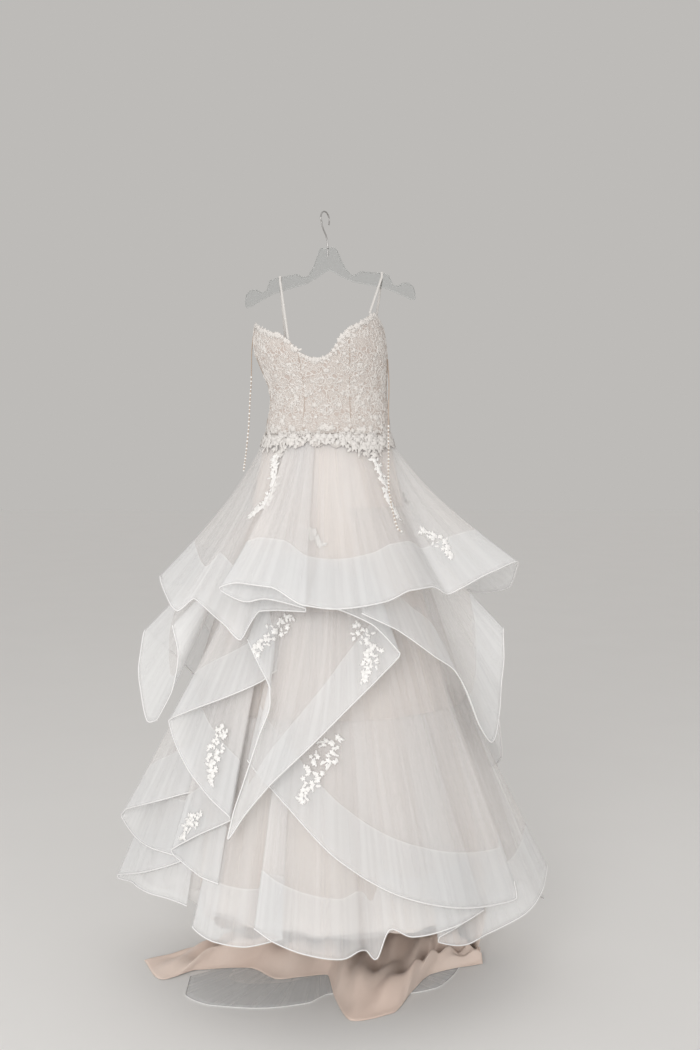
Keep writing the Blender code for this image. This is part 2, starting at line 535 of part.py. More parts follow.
def hanger_body(coat):
    """The flat clear hanger: a plate cut to its outline, with a bore for the hook's stem."""
    half = [(arm.out, arm.top) for arm in HANGER_ARM]
    under = [(arm.out, arm.bottom) for arm in reversed(HANGER_ARM[:-1])]
    right = half + [(HANGER_ARM[-1].out, HANGER_ARM[-1].bottom)] + under
    left = [(-out, height) for out, height in reversed(right) if out > 0]
    maker = bmesh.new()
    ring = [
        maker.verts.new((x, y - HANGER_THICK / 2, z))
        for x, y, z in (hanger_place(*spot) for spot in right + left)
    ]
    face = maker.faces.new(ring)
    grown = bmesh.ops.extrude_face_region(maker, geom=[face])
    moved = [part for part in grown["geom"] if isinstance(part, bmesh.types.BMVert)]
    bmesh.ops.translate(maker, verts=moved, vec=(0, HANGER_THICK, 0))
    bmesh.ops.triangulate(maker, faces=maker.faces)
    bmesh.ops.recalc_face_normals(maker, faces=maker.faces)
    made = finish("hanger_body", maker, coat)

    bpy.ops.mesh.primitive_cylinder_add(
        vertices=16, radius=WIRE_RADIUS + SEAM_GAP, depth=2 * STEM_IN_NECK,
        location=HANGER_NECK,
    )
    bore = bpy.context.object
    bore.name = "hook_bore"
    bore.hide_render = True
    bore.display_type = "WIRE"
    bore.hide_set(True)
    cut = made.modifiers.new("hook_bore", "BOOLEAN")
    cut.operation = "DIFFERENCE"
    cut.object = bore
    return made


def hanger_hook(coat):
    """The wire hook over the rod, turned on its stem."""
    bend = ROD_RADIUS + WIRE_RADIUS
    stem_x, _, neck_top = HANGER_NECK
    arc = [math.radians(turn) for turn in range(-35, 216, 12)]
    spots = [(bend * math.cos(a), -ROD_RADIUS + bend * math.sin(a)) for a in arc]
    down = ((-0.0165, -0.033), (-0.011, -0.045), (-0.003, -0.056), (0.0, -0.066))
    spots += [*down, (0.0, neck_top), (0.0, neck_top - STEM_IN_NECK + 2 * SEAM_GAP)]
    top_z, low_z = -ROD_RADIUS, neck_top
    points = []
    for p, z in spots:
        lean = stem_x * min(max((top_z - z) / (top_z - low_z), 0.0), 1.0)
        points.append((lean + p * math.cos(HOOK_TURN), p * math.sin(HOOK_TURN), z))
    return tube("hanger_hook", points, WIRE_RADIUS, coat)


def strap(name, out, front_angle, back_angle, coat):
    """A strap over the hanger's arm, from the bodice's front edge to its back edge."""
    top = np.interp(abs(out), [arm.out for arm in HANGER_ARM], [arm.top for arm in HANGER_ARM])
    x, _, z = hanger_place(out, top)
    rest = z + SEAM_GAP + STRAP_THICK / 2 + STRAP_CLEAR
    side = HANGER_THICK / 2 + SEAM_GAP + STRAP_THICK / 2 + STRAP_CLEAR
    over = [(x, y, rest + rise) for y, rise in (
        (-side, -0.012), (-side, -0.004), (-0.75 * side, 0.0), (0.0, 0.0003),
        (0.75 * side, 0.0), (side, -0.004), (side, -0.012),
    )]
    feet = []
    for angle in (front_angle, back_angle):
        slant = abs(math.tan(math.radians(angle))) * WALL_TURN  # the wall's turn off the strap
        beside = STRAP_WIDE / 2 * slant / math.hypot(1, slant)
        inset = (BODICE_WALL + STRAP_THICK) / 2 + beside + 3 * SEAM_GAP
        feet.append([
            ring_point(BODICE, angle, neckline(angle) - below, -inset)
            for below in (STRAP_FOOT, -0.004)
        ])
    front, back = feet
    return ribbon(name, [*front, *over, *back[::-1]], STRAP_WIDE, STRAP_THICK, coat)


# Bodice ------------------------------------------------------------------------------------

def neckline(angle):
    """The height of the bodice's top edge at this angle."""
    turn = (angle + 180) % 360 - 180
    return np.interp(turn, [edge.angle for edge in NECKLINE], [edge.height for edge in NECKLINE])


def bodice(coats):
    """The bodice's panels, from seam to seam round the body."""
    starts = [start for _, start in BODICE_PANELS] + [BODICE_PANELS[0][1] + 360]
    angles, cuts = [starts[0]], [0]
    for start, end in zip(starts, starts[1:]):
        steps = round((end - start) / BODICE_STEP)
        angles += list(np.linspace(start, end, steps + 1))[1:]
        cuts.append(cuts[-1] + steps)
    grid = np.stack([
        ring_point(
            BODICE, angle * np.ones(BODICE_LEVELS),
            np.linspace(neckline(angle), WAIST, BODICE_LEVELS), 0.0,
        )
        for angle in angles
    ])
    normals = wall_normals(grid, ring=True)
    for (name, _), first, last in zip(BODICE_PANELS, cuts, cuts[1:]):
        coat = coats["illusion"] if "side" in name else coats["lace"]
        cloth(name, trimmed(grid[first:last + 1]), BODICE_WALL, coat, normals[first:last + 1])


# Skirt -------------------------------------------------------------------------------------

def lining(sections, hem, angles, fixed=4, free=3):
    """A lining's points round the body. Its first levels lie on the sections, the rest below."""
    lows = np.interp(angles, [edge.angle for edge in hem], [edge.height for edge in hem])
    upper = [WAIST_SEAM] + [section.height for section in sections[1:fixed]]
    grid = []
    for angle, low in zip(angles, lows):
        heights = np.array(upper + list(np.linspace(upper[-1], low, free + 1)[1:]))
        grid.append(ring_point(sections, angle * np.ones(len(heights)), heights, 0.0))
    return np.stack(grid)


def satin_lining(coat):
    """The blush lining, in a front and two backs. The backs' foot stands on the train."""
    angles = np.arange(-90, 271, SATIN_STEP)
    grid = lining(SATIN, SATIN_HEM, angles)
    cuts = [int(np.argmin(np.abs(angles - seam))) for seam in SATIN_SEAMS] + [len(angles) - 1]
    names = ("satin_front", "satin_back_right", "satin_back_left")
    return divided(names, grid, cuts, SATIN_WALL, coat, ring=True)


def net_underskirt(coat):
    """The net layer over the lining, which carries the tiers."""
    angles = np.arange(-90, 271, NET_STEP)
    grid = lining(SKIRT, UNDERSKIRT_HEM, angles, fixed=6, free=1)
    cuts = [0, int(np.argmin(np.abs(angles - NET_SEAM))), len(angles) - 1]
    return divided(("net_front", "net_back"), grid, cuts, TULLE_WALL, coat, ring=True)


def spread_edge(rows, columns):
    """Points along the train's edge, from its rows."""
    return smooth_rows(rows, spaced(rows, columns))


def satin_train(coat):
    """The lining's train, folded forward over the floor in two soft ridges."""
    angles = np.linspace(TRAIN_FROM, TRAIN_TO, TRAIN_COLUMNS)
    shares = np.linspace(0, 1, TRAIN_LEVELS)
    bed = SATIN_FOOT - SATIN_WALL / 2 - 1.5 * SEAM_GAP
    floor_bed = FLOOR + TULLE_WALL + SEAM_GAP + SATIN_WALL / 2
    grid = []
    ridges = np.sin(2 * math.pi * shares)**2 * (shares > TRAIN_FLAT)
    for angle, (x, y, rise) in zip(angles, spread_edge(SATIN_TRAIN, TRAIN_COLUMNS)):
        foot = ring_point(SATIN, angle, SATIN_FOOT, 0.0)
        tuck = np.clip((angle - TUCK_FROM) / (TRAIN_TO - TUCK_FROM), 0, 1)
        lying = np.stack([
            foot[0] + (x - foot[0]) * shares**(1 + tuck / 2),
            foot[1] + (y - foot[1]) * (shares + TRAIN_TUCK * tuck * shares * (1 - shares)),
            bed + (floor_bed - bed) * shares + rise * ridges,
        ], -1)
        grid.append(lying)
    return cloth("satin_train", np.stack(grid), SATIN_WALL, coat)


def net_train(coat):
    """The net under the satin train, flat on the floor."""
    middle = np.array(TRAIN_MIDDLE)
    shares = np.linspace(NET_TRAIN_INNER, 1, NET_TRAIN_LEVELS)[:, None]
    grid = []
    for x, y, _ in spread_edge(NET_TRAIN, NET_TRAIN_COLUMNS):
        flat = middle + (np.array([x, y]) - middle) * shares
        heights = np.full((NET_TRAIN_LEVELS, 1), FLOOR + TULLE_WALL / 2)
        grid.append(np.hstack([flat, heights]))
    return cloth("net_train", np.stack(grid), TULLE_WALL, coat)


def column_at(values, root):
    """The column whose stitched edge is nearest this root angle."""
    return int(np.argmin(np.abs(values[:, 1] - root)))


def flounce(names, hem, reach, levels, drape, splits, coat, ring=False):
    """A flounce, divided at its side seams into named pieces. Returns them and its points."""
    top_lift = WAIST_STEP if ring else TOP_LIFT
    grid, values = flounce_grid(hem, reach, levels, drape, top_lift)
    cuts = [0, *(column_at(values, root) for root in splits), len(grid) - 1]
    return divided(names, grid, cuts, TULLE_WALL, coat, ring), grid, values


def applique(sprig, panel, coat):
    """A leafy lace sprig over the panel's facets, raised until it clears all of them."""
    tree = BVHTree.FromObject(panel, bpy.context.evaluated_depsgraph_get())
    middle = ring_point(SKIRT, sprig.angle, sprig.height, 0.0)
    turn = math.radians(sprig.angle)
    inward = Vector((-math.sin(turn), math.cos(turn), 0.0))
    beside = Vector((math.cos(turn), math.sin(turn), 0.0))
    start = -0.4 * inward  # well outside the dress
    spots = []
    for ring in SPRIG_RINGS:
        for turn in np.linspace(0, 2 * math.pi, SPRIG_AROUND, endpoint=False):
            reach = ring * (1 + SPRIG_WAVE * math.cos(SPRIG_LOBES * turn) * ring)
            up = math.cos(turn) * reach * sprig.tall / 2
            across = math.sin(turn) * reach * sprig.wide / 2 + sprig.lean * up
            origin = Vector(middle) + beside * across + Vector((0, 0, up)) + start
            spot, _, _, _ = tree.ray_cast(origin, inward)
            if spot is None:
                raise ValueError(f"{sprig.name} runs off its panel")
            spots.append(spot)
    step = 1
    maker = lobed_wall(spots, -inward, SEAM_GAP)
    while BVHTree.FromBMesh(maker).overlap(tree) and step < SPRIG_RAISES:
        step += 1
        maker.free()
        maker = lobed_wall(spots, -inward, step * SEAM_GAP)
    return finish(sprig.name, maker, coat)


def lobed_wall(spots, outward, clear):
    """A closed wall over two rings of spots, this far out from them."""
    around = SPRIG_AROUND
    maker = bmesh.new()
    skins = [
        [maker.verts.new(spot + outward * depth) for spot in spots]
        for depth in (clear, clear + LACE_WALL)
    ]
    for skin in skins:
        maker.faces.new(skin[:around])
        for k in range(around):
            n = (k + 1) % around
            maker.faces.new([skin[k], skin[n], skin[around + n], skin[around + k]])
    low, high = (skin[around:] for skin in skins)
    for k in range(around):
        n = (k + 1) % around
        maker.faces.new([low[k], low[n], high[n], high[k]])
    bmesh.ops.triangulate(maker, faces=maker.faces)
    bmesh.ops.recalc_face_normals(maker, faces=maker.faces)
    if maker.calc_volume(signed=True) < 0:
        bmesh.ops.reverse_faces(maker, faces=maker.faces)
    return maker


def waist_lace(name, grid, values, start, end, coat):
    """The bodice lace's pointed lower edge, made from the first tier's points, moved out."""
    normals = wall_normals(grid, ring=True)
    roots = values[:, 1]
    outer = [k for k in range(len(roots) - 1) if roots[k] < roots[k + 1:].min()]
    kept = [k for k in outer if start <= roots[k] <= end]
    lace = []
    for k in kept:
        deep = LACE_DEEP + LACE_POINT * abs(math.sin(math.pi * roots[k] / LACE_POINTS))
        shares = np.linspace(0, deep / abs(grid[k, 1, 2] - grid[k, 0, 2]), 3)[:, None]
        spots = grid[k, 0] + (grid[k, 1] - grid[k, 0]) * shares
        out = normals[k, 0] + (normals[k, 1] - normals[k, 0]) * shares
        facing = np.sign(out[0] @ np.array([grid[k, 0, 0] - BODY_CENTRE_X, grid[k, 0, 1], 0.0]))
        lace.append(spots + facing * out * (TULLE_WALL / 2 + LACE_WALL / 2 + 2 * SEAM_GAP))
    return cloth(name, np.stack(lace), LACE_WALL, coat)


def bead_string(name, route, coat):
    """A loose string of beads along its route."""
    places = smooth_rows(route, spaced(route, BEAD_STEPS))
    return tube(name, [tuple(place) for place in places], BEAD_CORD / 2, coat)


# Build -------------------------------------------------------------------------------------

def build():
    for old in list(bpy.data.objects):
        bpy.data.objects.remove(old, do_unlink=True)
    coats = materials()
    net, satin = coats["net"], coats["satin"]

    hanger_body(coats["plastic"])
    hanger_hook(coats["chrome"])
    for name, out, front_foot, back_foot in STRAPS:
        strap(name, out, front_foot, back_foot, coats["lace"])
    bodice(coats)
    satin_lining(satin)
    satin_train(satin)
    net_train(net)
    net_underskirt(net)

    panels = {}
    tiers = (
        (("bottom_tier_front",), BOTTOM_TIER, 0.038, 4, 1.25, ()),
        (("bottom_tier_back",), BOTTOM_BACK, 0.040, 4, 1.2, ()),
        (("side_cascade",), SIDE_CASCADE, 0.038, 5, 1.2, ()),
        (("right_cascade",), RIGHT_CASCADE, 0.036, 5, 1.2, ()),
        (("left_cascade",), LEFT_CASCADE, 0.038, 5, 1.2, ()),
        (("front_cascade",), FRONT_CASCADE, 0.038, 5, 1.2, ()),
        (("tier_two_right", "tier_two_back", "tier_two_left"), TIER_TWO, 0.042, 5, 1.35,
         TIER_TWO_SPLITS),
    )
    for names, hem, reach, levels, drape, splits in tiers:
        for made in flounce(names, hem, reach, levels, drape, splits, net)[0]:
            panels[made.name] = made
    tier_one, grid, values = flounce(
        ("tier_one_front", "tier_one_back"), TIER_ONE, 0.038, 5, 1.45, TIER_ONE_SPLITS, net,
        ring=True,
    )
    for made in tier_one:
        panels[made.name] = made
    waist_lace("waist_lace", grid, values, -80, 80, coats["applique"])
    for sprig in SPRIGS:
        applique(sprig, panels[sprig.panel], coats["applique"])
    bead_string("beads_left", LEFT_BEADS, coats["beads"])
    bead_string("beads_right", RIGHT_BEADS, coats["beads"])


build()
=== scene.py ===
"""Dresses the tiered tulle wedding dress: its cloth, lace, beads, clear hanger and light.

Metres, +Z up, the front of the dress towards -Y, the origin where the hook rests on its rod.
Angles go round the body from the front, 90 on the +X side and 180 at the back.
"""

from __future__ import annotations

import logging
import math
from dataclasses import dataclass
from enum import Enum
from typing import Any, Callable, NamedTuple, Sequence

import bmesh
import bpy
import numpy as np
from bpy.types import Material, Mesh, Node, NodeSocket, NodeTree, Object
from mathutils import Matrix, Vector
from mathutils.bvhtree import BVHTree

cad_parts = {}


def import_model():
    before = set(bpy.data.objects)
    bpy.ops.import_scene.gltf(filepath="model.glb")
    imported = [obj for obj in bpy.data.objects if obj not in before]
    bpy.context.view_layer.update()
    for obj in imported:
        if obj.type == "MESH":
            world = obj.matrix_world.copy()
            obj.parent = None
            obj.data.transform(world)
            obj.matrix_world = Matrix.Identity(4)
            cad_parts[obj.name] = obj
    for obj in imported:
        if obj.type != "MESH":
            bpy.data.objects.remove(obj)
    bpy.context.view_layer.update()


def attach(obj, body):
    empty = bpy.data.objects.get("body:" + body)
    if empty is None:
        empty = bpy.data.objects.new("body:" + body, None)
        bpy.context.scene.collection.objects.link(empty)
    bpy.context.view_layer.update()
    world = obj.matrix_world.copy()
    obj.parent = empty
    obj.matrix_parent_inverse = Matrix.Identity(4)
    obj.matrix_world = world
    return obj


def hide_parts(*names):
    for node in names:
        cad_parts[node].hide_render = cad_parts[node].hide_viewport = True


LOG = logging.getLogger("dress")
Colour = tuple[float, float, float]
Point = tuple[float, float, float]
Sockets = dict[str, NodeSocket]

WAIST = -0.545
WAIST_SEAM = WAIST - 0.0008
FLOOR = -1.900
BODY_CENTRE_X = 0.005
SEAM_GAP = 0.0003
PLEATS = 12
FOLD_EASE = 1.8
PLY_STEP = 0.0026
TOP_LIFT = 0.0022
WAIST_STEP = 0.0021
BODY = "root"
SEED = 7
FULL_TURN = 6.28
BUMP_STRENGTH = 0.6


# Wiring ------------------------------------------------------------------------------------


class Tree:
    """A node tree being wired, with short calls for its nodes, values and links."""

    def __init__(self, tree: NodeTree) -> None:
        """Takes the tree to add to.

        Args:
            tree: a shader or geometry node tree.
        """
        self.tree = tree

    def feed(self, node: Node, wires: dict[Any, Any]) -> Node:
        """Feeds a node's inputs, by name or place, with values or sockets, and returns the node."""
        for key, value in wires.items():
            if isinstance(value, NodeSocket):
                self.tree.links.new(value, node.inputs[key])
            else:
                node.inputs[key].default_value = value
        return node

    def node(self, kind: str, wires: dict[Any, Any] | None = None, **settings: Any) -> Node:
        """Adds a node.

        Args:
            kind: the node's type.
            wires: for each input, by name or place, a value or the socket that feeds it.
            **settings: the node's own settings.

        Returns:
            The node.
        """
        made = self.tree.nodes.new(kind)
        for name, value in settings.items():
            setattr(made, name, value)
        return self.feed(made, wires or {})

    def sum(self, operation: str, *values: Any) -> NodeSocket:
        """Adds a math node.

        Args:
            operation: its operation, such as "ADD".
            *values: its inputs, as numbers or sockets.

        Returns:
            The result's socket.
        """
        return self.node("ShaderNodeMath", dict(enumerate(values)), operation=operation).outputs[0]

    def turn(self, operation: str, *values: Any) -> Node:
        """Adds a vector math node and returns it. Inputs are given in order."""
        return self.node("ShaderNodeVectorMath", dict(enumerate(values)), operation=operation)

    def rise(self, value: Any, low: float, high: float, top: float = 1.0) -> NodeSocket:
        """Adds a smooth step from 0 at low to top at high, and returns its socket."""
        wires = {"Value": value, "From Min": low, "From Max": high, "To Min": 0.0, "To Max": top}
        return self.node("ShaderNodeMapRange", wires, interpolation_type="SMOOTHSTEP").outputs[0]

    def blend(self, share: Any, first: Any, second: Any) -> NodeSocket:
        """Mixes two colours by a share, and returns the colour's socket."""
        first, second = (
            side if isinstance(side, NodeSocket) else (*side, 1.0) for side in (first, second)
        )
        made = self.node("ShaderNodeMix", data_type="RGBA")
        return self.feed(made, {0: share, 6: first, 7: second}).outputs[2]

    def scaled(self, vector: Any, by: Any) -> NodeSocket:
        """Scales a vector, and returns its socket."""
        wires = {0: vector, "Scale": by}
        return self.node("ShaderNodeVectorMath", wires, operation="SCALE").outputs[0]

    def away(self, value: Any) -> NodeSocket:
        """Returns 1 less the value."""
        return self.sum("SUBTRACT", 1.0, value)


class Effects:
    """The shader node groups that several finishes share, each built once."""

    def __init__(self) -> None:
        """Starts with no group built."""
        self.built: dict[str, NodeTree] = {}

    def group(self, name: str, takes: dict[str, Any], gives: Sequence[str],
              wire: Callable[[Tree, Any], Sockets]) -> NodeTree:
        """Builds a group once, or returns the one that is there.

        Args:
            name: the group's name.
            takes: its inputs: None for a vector, or a number's starting value.
            gives: the names of its number outputs.
            wire: adds its nodes and returns a socket for each output.

        Returns:
            The group.
        """
        if name in self.built:
            return self.built[name]
        made = bpy.data.node_groups.new(name, "ShaderNodeTree")
        for title, start in takes.items():
            kind = "NodeSocketVector" if start is None else "NodeSocketFloat"
            socket = made.interface.new_socket(name=title, in_out="INPUT", socket_type=kind)
            if start is not None:
                socket.default_value = start
        for title in gives:
            made.interface.new_socket(name=title, in_out="OUTPUT", socket_type="NodeSocketFloat")
        tree = Tree(made)
        tree.node("NodeGroupOutput", wire(tree, made.nodes.new("NodeGroupInput").outputs))
        self.built[name] = made
        return made

    def net(self) -> NodeTree:
        """The round-holed mesh of tulle: its threads, as a mask."""

        def wire(tree: Tree, given: Any) -> Sockets:
            """Adds three crossing waves, whose crests are the holes."""
            turns = tree.sum("MULTIPLY", given["Cells"], 2 * math.pi)
            scaled = tree.scaled(given["Vector"], turns)
            waves = [
                tree.sum("COSINE", tree.turn("DOT_PRODUCT", scaled, way).outputs["Value"])
                for way in ((1.0, 0.0, 0.0), (-0.5, 0.866, 0.0), (-0.5, -0.866, 0.0))
            ]
            crests = tree.sum("ADD", tree.sum("ADD", waves[0], waves[1]), waves[2])
            return {"Threads": tree.away(tree.rise(crests, -1.2, 0.4))}

        return self.group("net_mesh", {"Vector": None, "Cells": 600.0}, ("Threads",), wire)

    def creases(self) -> NodeTree:
        """Soft creases, longer one way than the other: a height and a slow change of tone."""

        def wire(tree: Tree, given: Any) -> Sockets:
            """Adds the stretched noise and the slow tone."""
            across, along = given["Across"], given["Along"]
            stretch = tree.node("ShaderNodeCombineXYZ", {0: across, 1: along, 2: along})
            spread = tree.turn("MULTIPLY", given["Vector"], stretch.outputs[0])
            fine = tree.node("ShaderNodeTexNoise", {
                "Vector": spread.outputs[0], "Scale": 1.0, "Detail": 2.0, "Roughness": 0.5,
            })
            slow = tree.node("ShaderNodeTexNoise", {
                "Vector": given["Vector"], "Scale": 4.0, "Detail": 1.0,
            })
            return {"Height": fine.outputs["Fac"], "Tone": slow.outputs["Fac"]}

        takes = {"Vector": None, "Across": 30.0, "Along": 4.0}
        return self.group("soft_creases", takes, ("Height", "Tone"), wire)

    def threads(self) -> NodeTree:
        """Crossed threads of a woven cloth, as a height."""

        def wire(tree: Tree, given: Any) -> Sockets:
            """Adds the warp and the weft."""
            lines = [
                tree.node("ShaderNodeTexWave", {
                    "Vector": given["Vector"], "Scale": given["Count"],
                    "Distortion": 0.0, "Detail": 0.0,
                }, wave_type="BANDS", bands_direction=way).outputs["Fac"]
                for way in ("X", "Y")
            ]
            return {"Height": tree.sum("MAXIMUM", *lines)}

        return self.group("woven_threads", {"Vector": None, "Count": 180.0}, ("Height",), wire)

    def lace(self) -> NodeTree:
        """Corded lace: flowers of nested petal cords among winding vines."""

        def wire(tree: Tree, given: Any) -> Sockets:
            """Adds the flowers, the vines and the cloth fillings."""
            scaled = tree.scaled(given["Vector"], given["Motifs"])
            warp = tree.node("ShaderNodeTexNoise", {"Vector": scaled, "Scale": 1.3, "Detail": 1.0})
            shift = tree.turn("SUBTRACT", warp.outputs["Color"], (0.5, 0.5, 0.5))
            bent = tree.turn("MULTIPLY_ADD", shift.outputs[0], (0.8, 0.8, 0.8), scaled)
            cells = tree.node("ShaderNodeTexVoronoi", {
                "Vector": bent.outputs[0], "Scale": 1.0, "Randomness": 0.8,
            }, voronoi_dimensions="2D", feature="F1")
            away = tree.turn("SUBTRACT", bent.outputs[0], cells.outputs["Position"])
            parts = tree.node("ShaderNodeSeparateXYZ", {0: away.outputs[0]})
            angle = tree.sum("ARCTAN2", parts.outputs["Y"], parts.outputs["X"])
            start = tree.node("ShaderNodeSeparateColor", {0: cells.outputs["Color"]}).outputs[0]
            start = tree.sum("MULTIPLY", start, 6.283)
            petals = tree.sum("COSINE", tree.sum("MULTIPLY_ADD", angle, 5.0, start))
            edge = tree.sum("MULTIPLY_ADD", petals, 0.22, 1.0)
            reach = tree.sum("DIVIDE", cells.outputs["Distance"], edge)
            rings = tree.rise(tree.sum("COSINE", tree.sum("MULTIPLY", reach, 34.0)), 0.1, 0.8)
            inside = tree.away(tree.rise(reach, 0.46, 0.50))
            vines = tree.node("ShaderNodeTexVoronoi", {
                "Vector": bent.outputs[0], "Scale": 2.7, "Randomness": 1.0,
            }, voronoi_dimensions="2D", feature="DISTANCE_TO_EDGE")
            vine = tree.away(tree.rise(vines.outputs["Distance"], 0.06, 0.15))
            outside = tree.sum("MULTIPLY", vine, tree.rise(reach, 0.40, 0.50))
            raised = tree.sum("MAXIMUM", tree.sum("MULTIPLY", rings, inside), outside)
            motif = tree.sum("MAXIMUM", tree.sum("MULTIPLY", inside, 0.45), raised)
            cloth = tree.sum("MULTIPLY", inside, 0.25)
            return {"Motif": motif, "Height": tree.sum("MULTIPLY_ADD", raised, 0.75, cloth)}

        takes = {"Vector": None, "Motifs": 30.0}
        return self.group("corded_lace", takes, ("Motif", "Height"), wire)


EFFECTS = Effects()


# Finishes ----------------------------------------------------------------------------------


class Slot(Enum):
    """The record's material slots."""

    LACE = "lace"
    ILLUSION = "illusion"
    SATIN = "satin"
    NET = "net"
    APPLIQUE = "applique"
    PLASTIC = "plastic"
    CHROME = "chrome"
    BEADS = "beads"


@dataclass(frozen=True)
class Finish:
    """A material in one colour, from which the others are made.

    Attributes:
        name: the material's name.
        slot: the record's slot it belongs to. It is not used.
        colour: its main colour.
        rough: its roughness.
        sheen: how much soft light its nap gives back at a glance.
    """

    name: str
    slot: Slot
    colour: Colour
    rough: float = 0.8
    sheen: float = 0.0

    def start(self) -> tuple[Material, Tree, Node]:
        """Makes the material, and returns it, its tree and its Principled shader."""
        made = bpy.data.materials.new(self.name)
        made.use_nodes = True
        shader = made.node_tree.nodes["Principled BSDF"]
        shader.inputs["Base Color"].default_value = (*self.colour, 1.0)
        shader.inputs["Roughness"].default_value = self.rough
        shader.inputs["Sheen Weight"].default_value = self.sheen
        shader.inputs["Sheen Roughness"].default_value = 0.5
        return made, Tree(made.node_tree), shader

    def place(self, tree: Tree, effect: NodeTree, vector: Any, **values: float) -> Node:
        """Adds a shared effect with values of its own, and returns its node."""
        made = tree.node("ShaderNodeGroup", node_tree=effect)
        return tree.feed(made, {"Vector": vector, **values})

    def raise_by(self, tree: Tree, shader: Node, height: Any, deep: float) -> None:
        """Feeds the shader's normal from a height, over this depth in metres."""
        wires = {"Height": height, "Distance": deep, "Strength": BUMP_STRENGTH}
        tree.feed(shader, {"Normal": tree.node("ShaderNodeBump", wires).outputs[0]})

    def soft(self, tree: Tree, across: float, along: float) -> Any:
        """Adds the creases over the object's own space, and returns their outputs."""
        spots = tree.node("ShaderNodeTexCoord").outputs["Object"]
        return self.place(tree, EFFECTS.creases(), spots, Across=across, Along=along).outputs

    def material(self) -> Material:
        """Builds the finish with faint creases, for a smooth thing."""
        made, tree, shader = self.start()
        soft = self.soft(tree, 60.0, 60.0)
        self.raise_by(tree, shader, soft["Height"], 0.0003)
        return made


@dataclass(frozen=True)
class Tulle(Finish):
    """Net, seen through. Its UV map is in metres, with V measured up from the hem.

    Attributes:
        opacity: how much one wall of it covers.
        band: how deep the doubled hem is, in metres, or 0 for none.
        band_opacity: how much one wall of the doubled hem covers.
        band_colour: the doubled hem's colour.
        warm: the colour it drifts to.
        meshes: how many holes fit in a metre.
        streaks: how much its cover changes along its gathers.
        stitches: how much more the line of stitches covers.
        crease: how deep its creases look, in metres.
    """

    opacity: float = 0.42
    band: float = 0.0
    band_opacity: float = 0.6
    band_colour: Colour = (0.93, 0.92, 0.91)
    warm: Colour = (0.96, 0.93, 0.91)
    meshes: float = 620.0
    streaks: float = 0.07
    stitches: float = 0.06
    crease: float = 0.0016

    def material(self) -> Material:
        """Builds the net, with the doubled band and its line of stitches along the hem."""
        made, tree, shader = self.start()
        cut = tree.node("ShaderNodeUVMap").outputs[0]
        net = self.place(tree, EFFECTS.net(), cut, Cells=self.meshes)
        soft = self.place(tree, EFFECTS.creases(), cut, Across=30.0, Along=1.1)
        colour = tree.blend(tree.rise(soft.outputs["Tone"], 0.35, 0.65), self.colour, self.warm)
        cover: Any = self.opacity
        if self.band:
            up = tree.node("ShaderNodeSeparateXYZ", {0: cut}).outputs["Y"]
            band = tree.away(tree.rise(up, self.band - 0.0015, self.band + 0.0015))
            off_line = tree.sum("ABSOLUTE", tree.sum("SUBTRACT", up, self.band))
            line = tree.away(tree.rise(off_line, 0.001, 0.0028))
            colour = tree.blend(band, colour, self.band_colour)
            cover = tree.sum("MULTIPLY_ADD", band, self.band_opacity - self.opacity, self.opacity)
            cover = tree.sum("MULTIPLY_ADD", line, self.stitches, cover)
        woven = tree.sum("MULTIPLY_ADD", net.outputs["Threads"], 0.10, -0.05)
        fold = tree.rise(soft.outputs["Height"], 0.36, 0.66)
        drift = tree.sum("MULTIPLY_ADD", fold, self.streaks, -0.4 * self.streaks)
        cover = tree.sum("ADD", tree.sum("ADD", cover, woven), drift)
        cover = tree.node("ShaderNodeClamp", {"Value": cover, "Min": 0.05, "Max": 1.0}).outputs[0]
        tree.feed(shader, {"Base Color": colour, "Alpha": cover})
        self.raise_by(tree, shader, soft.outputs["Height"], self.crease)
        return made


@dataclass(frozen=True)
class Satin(Finish):
    """Satin: a smooth face with long soft lights.

    Attributes:
        shade: its colour where it drifts darker.
        across: how many creases fit in a metre along the hem.
        along: how many fit in a metre up from the hem.
        crease: how deep they look, in metres.
    """

    shade: Colour = (0.93, 0.80, 0.72)
    across: float = 12.0
    along: float = 2.5
    crease: float = 0.005

    def material(self) -> Material:
        """Builds the satin's colour, creases and threads."""
        made, tree, shader = self.start()
        cut = tree.node("ShaderNodeUVMap").outputs[0]
        soft = self.place(tree, EFFECTS.creases(), cut, Across=self.across, Along=self.along)
        woven = self.place(tree, EFFECTS.threads(), cut, Count=300.0)
        colour = tree.blend(tree.rise(soft.outputs["Tone"], 0.3, 0.7), self.colour, self.shade)
        tree.feed(shader, {"Base Color": colour})
        drift = tree.sum("MULTIPLY_ADD", soft.outputs["Height"], 0.15, self.rough - 0.07)
        tree.feed(shader, {"Roughness": drift})
        shader.inputs["Anisotropic"].default_value = 0.45
        height = tree.sum("MULTIPLY_ADD", woven.outputs["Height"], 0.015, soft.outputs["Height"])
        self.raise_by(tree, shader, height, self.crease)
        return made


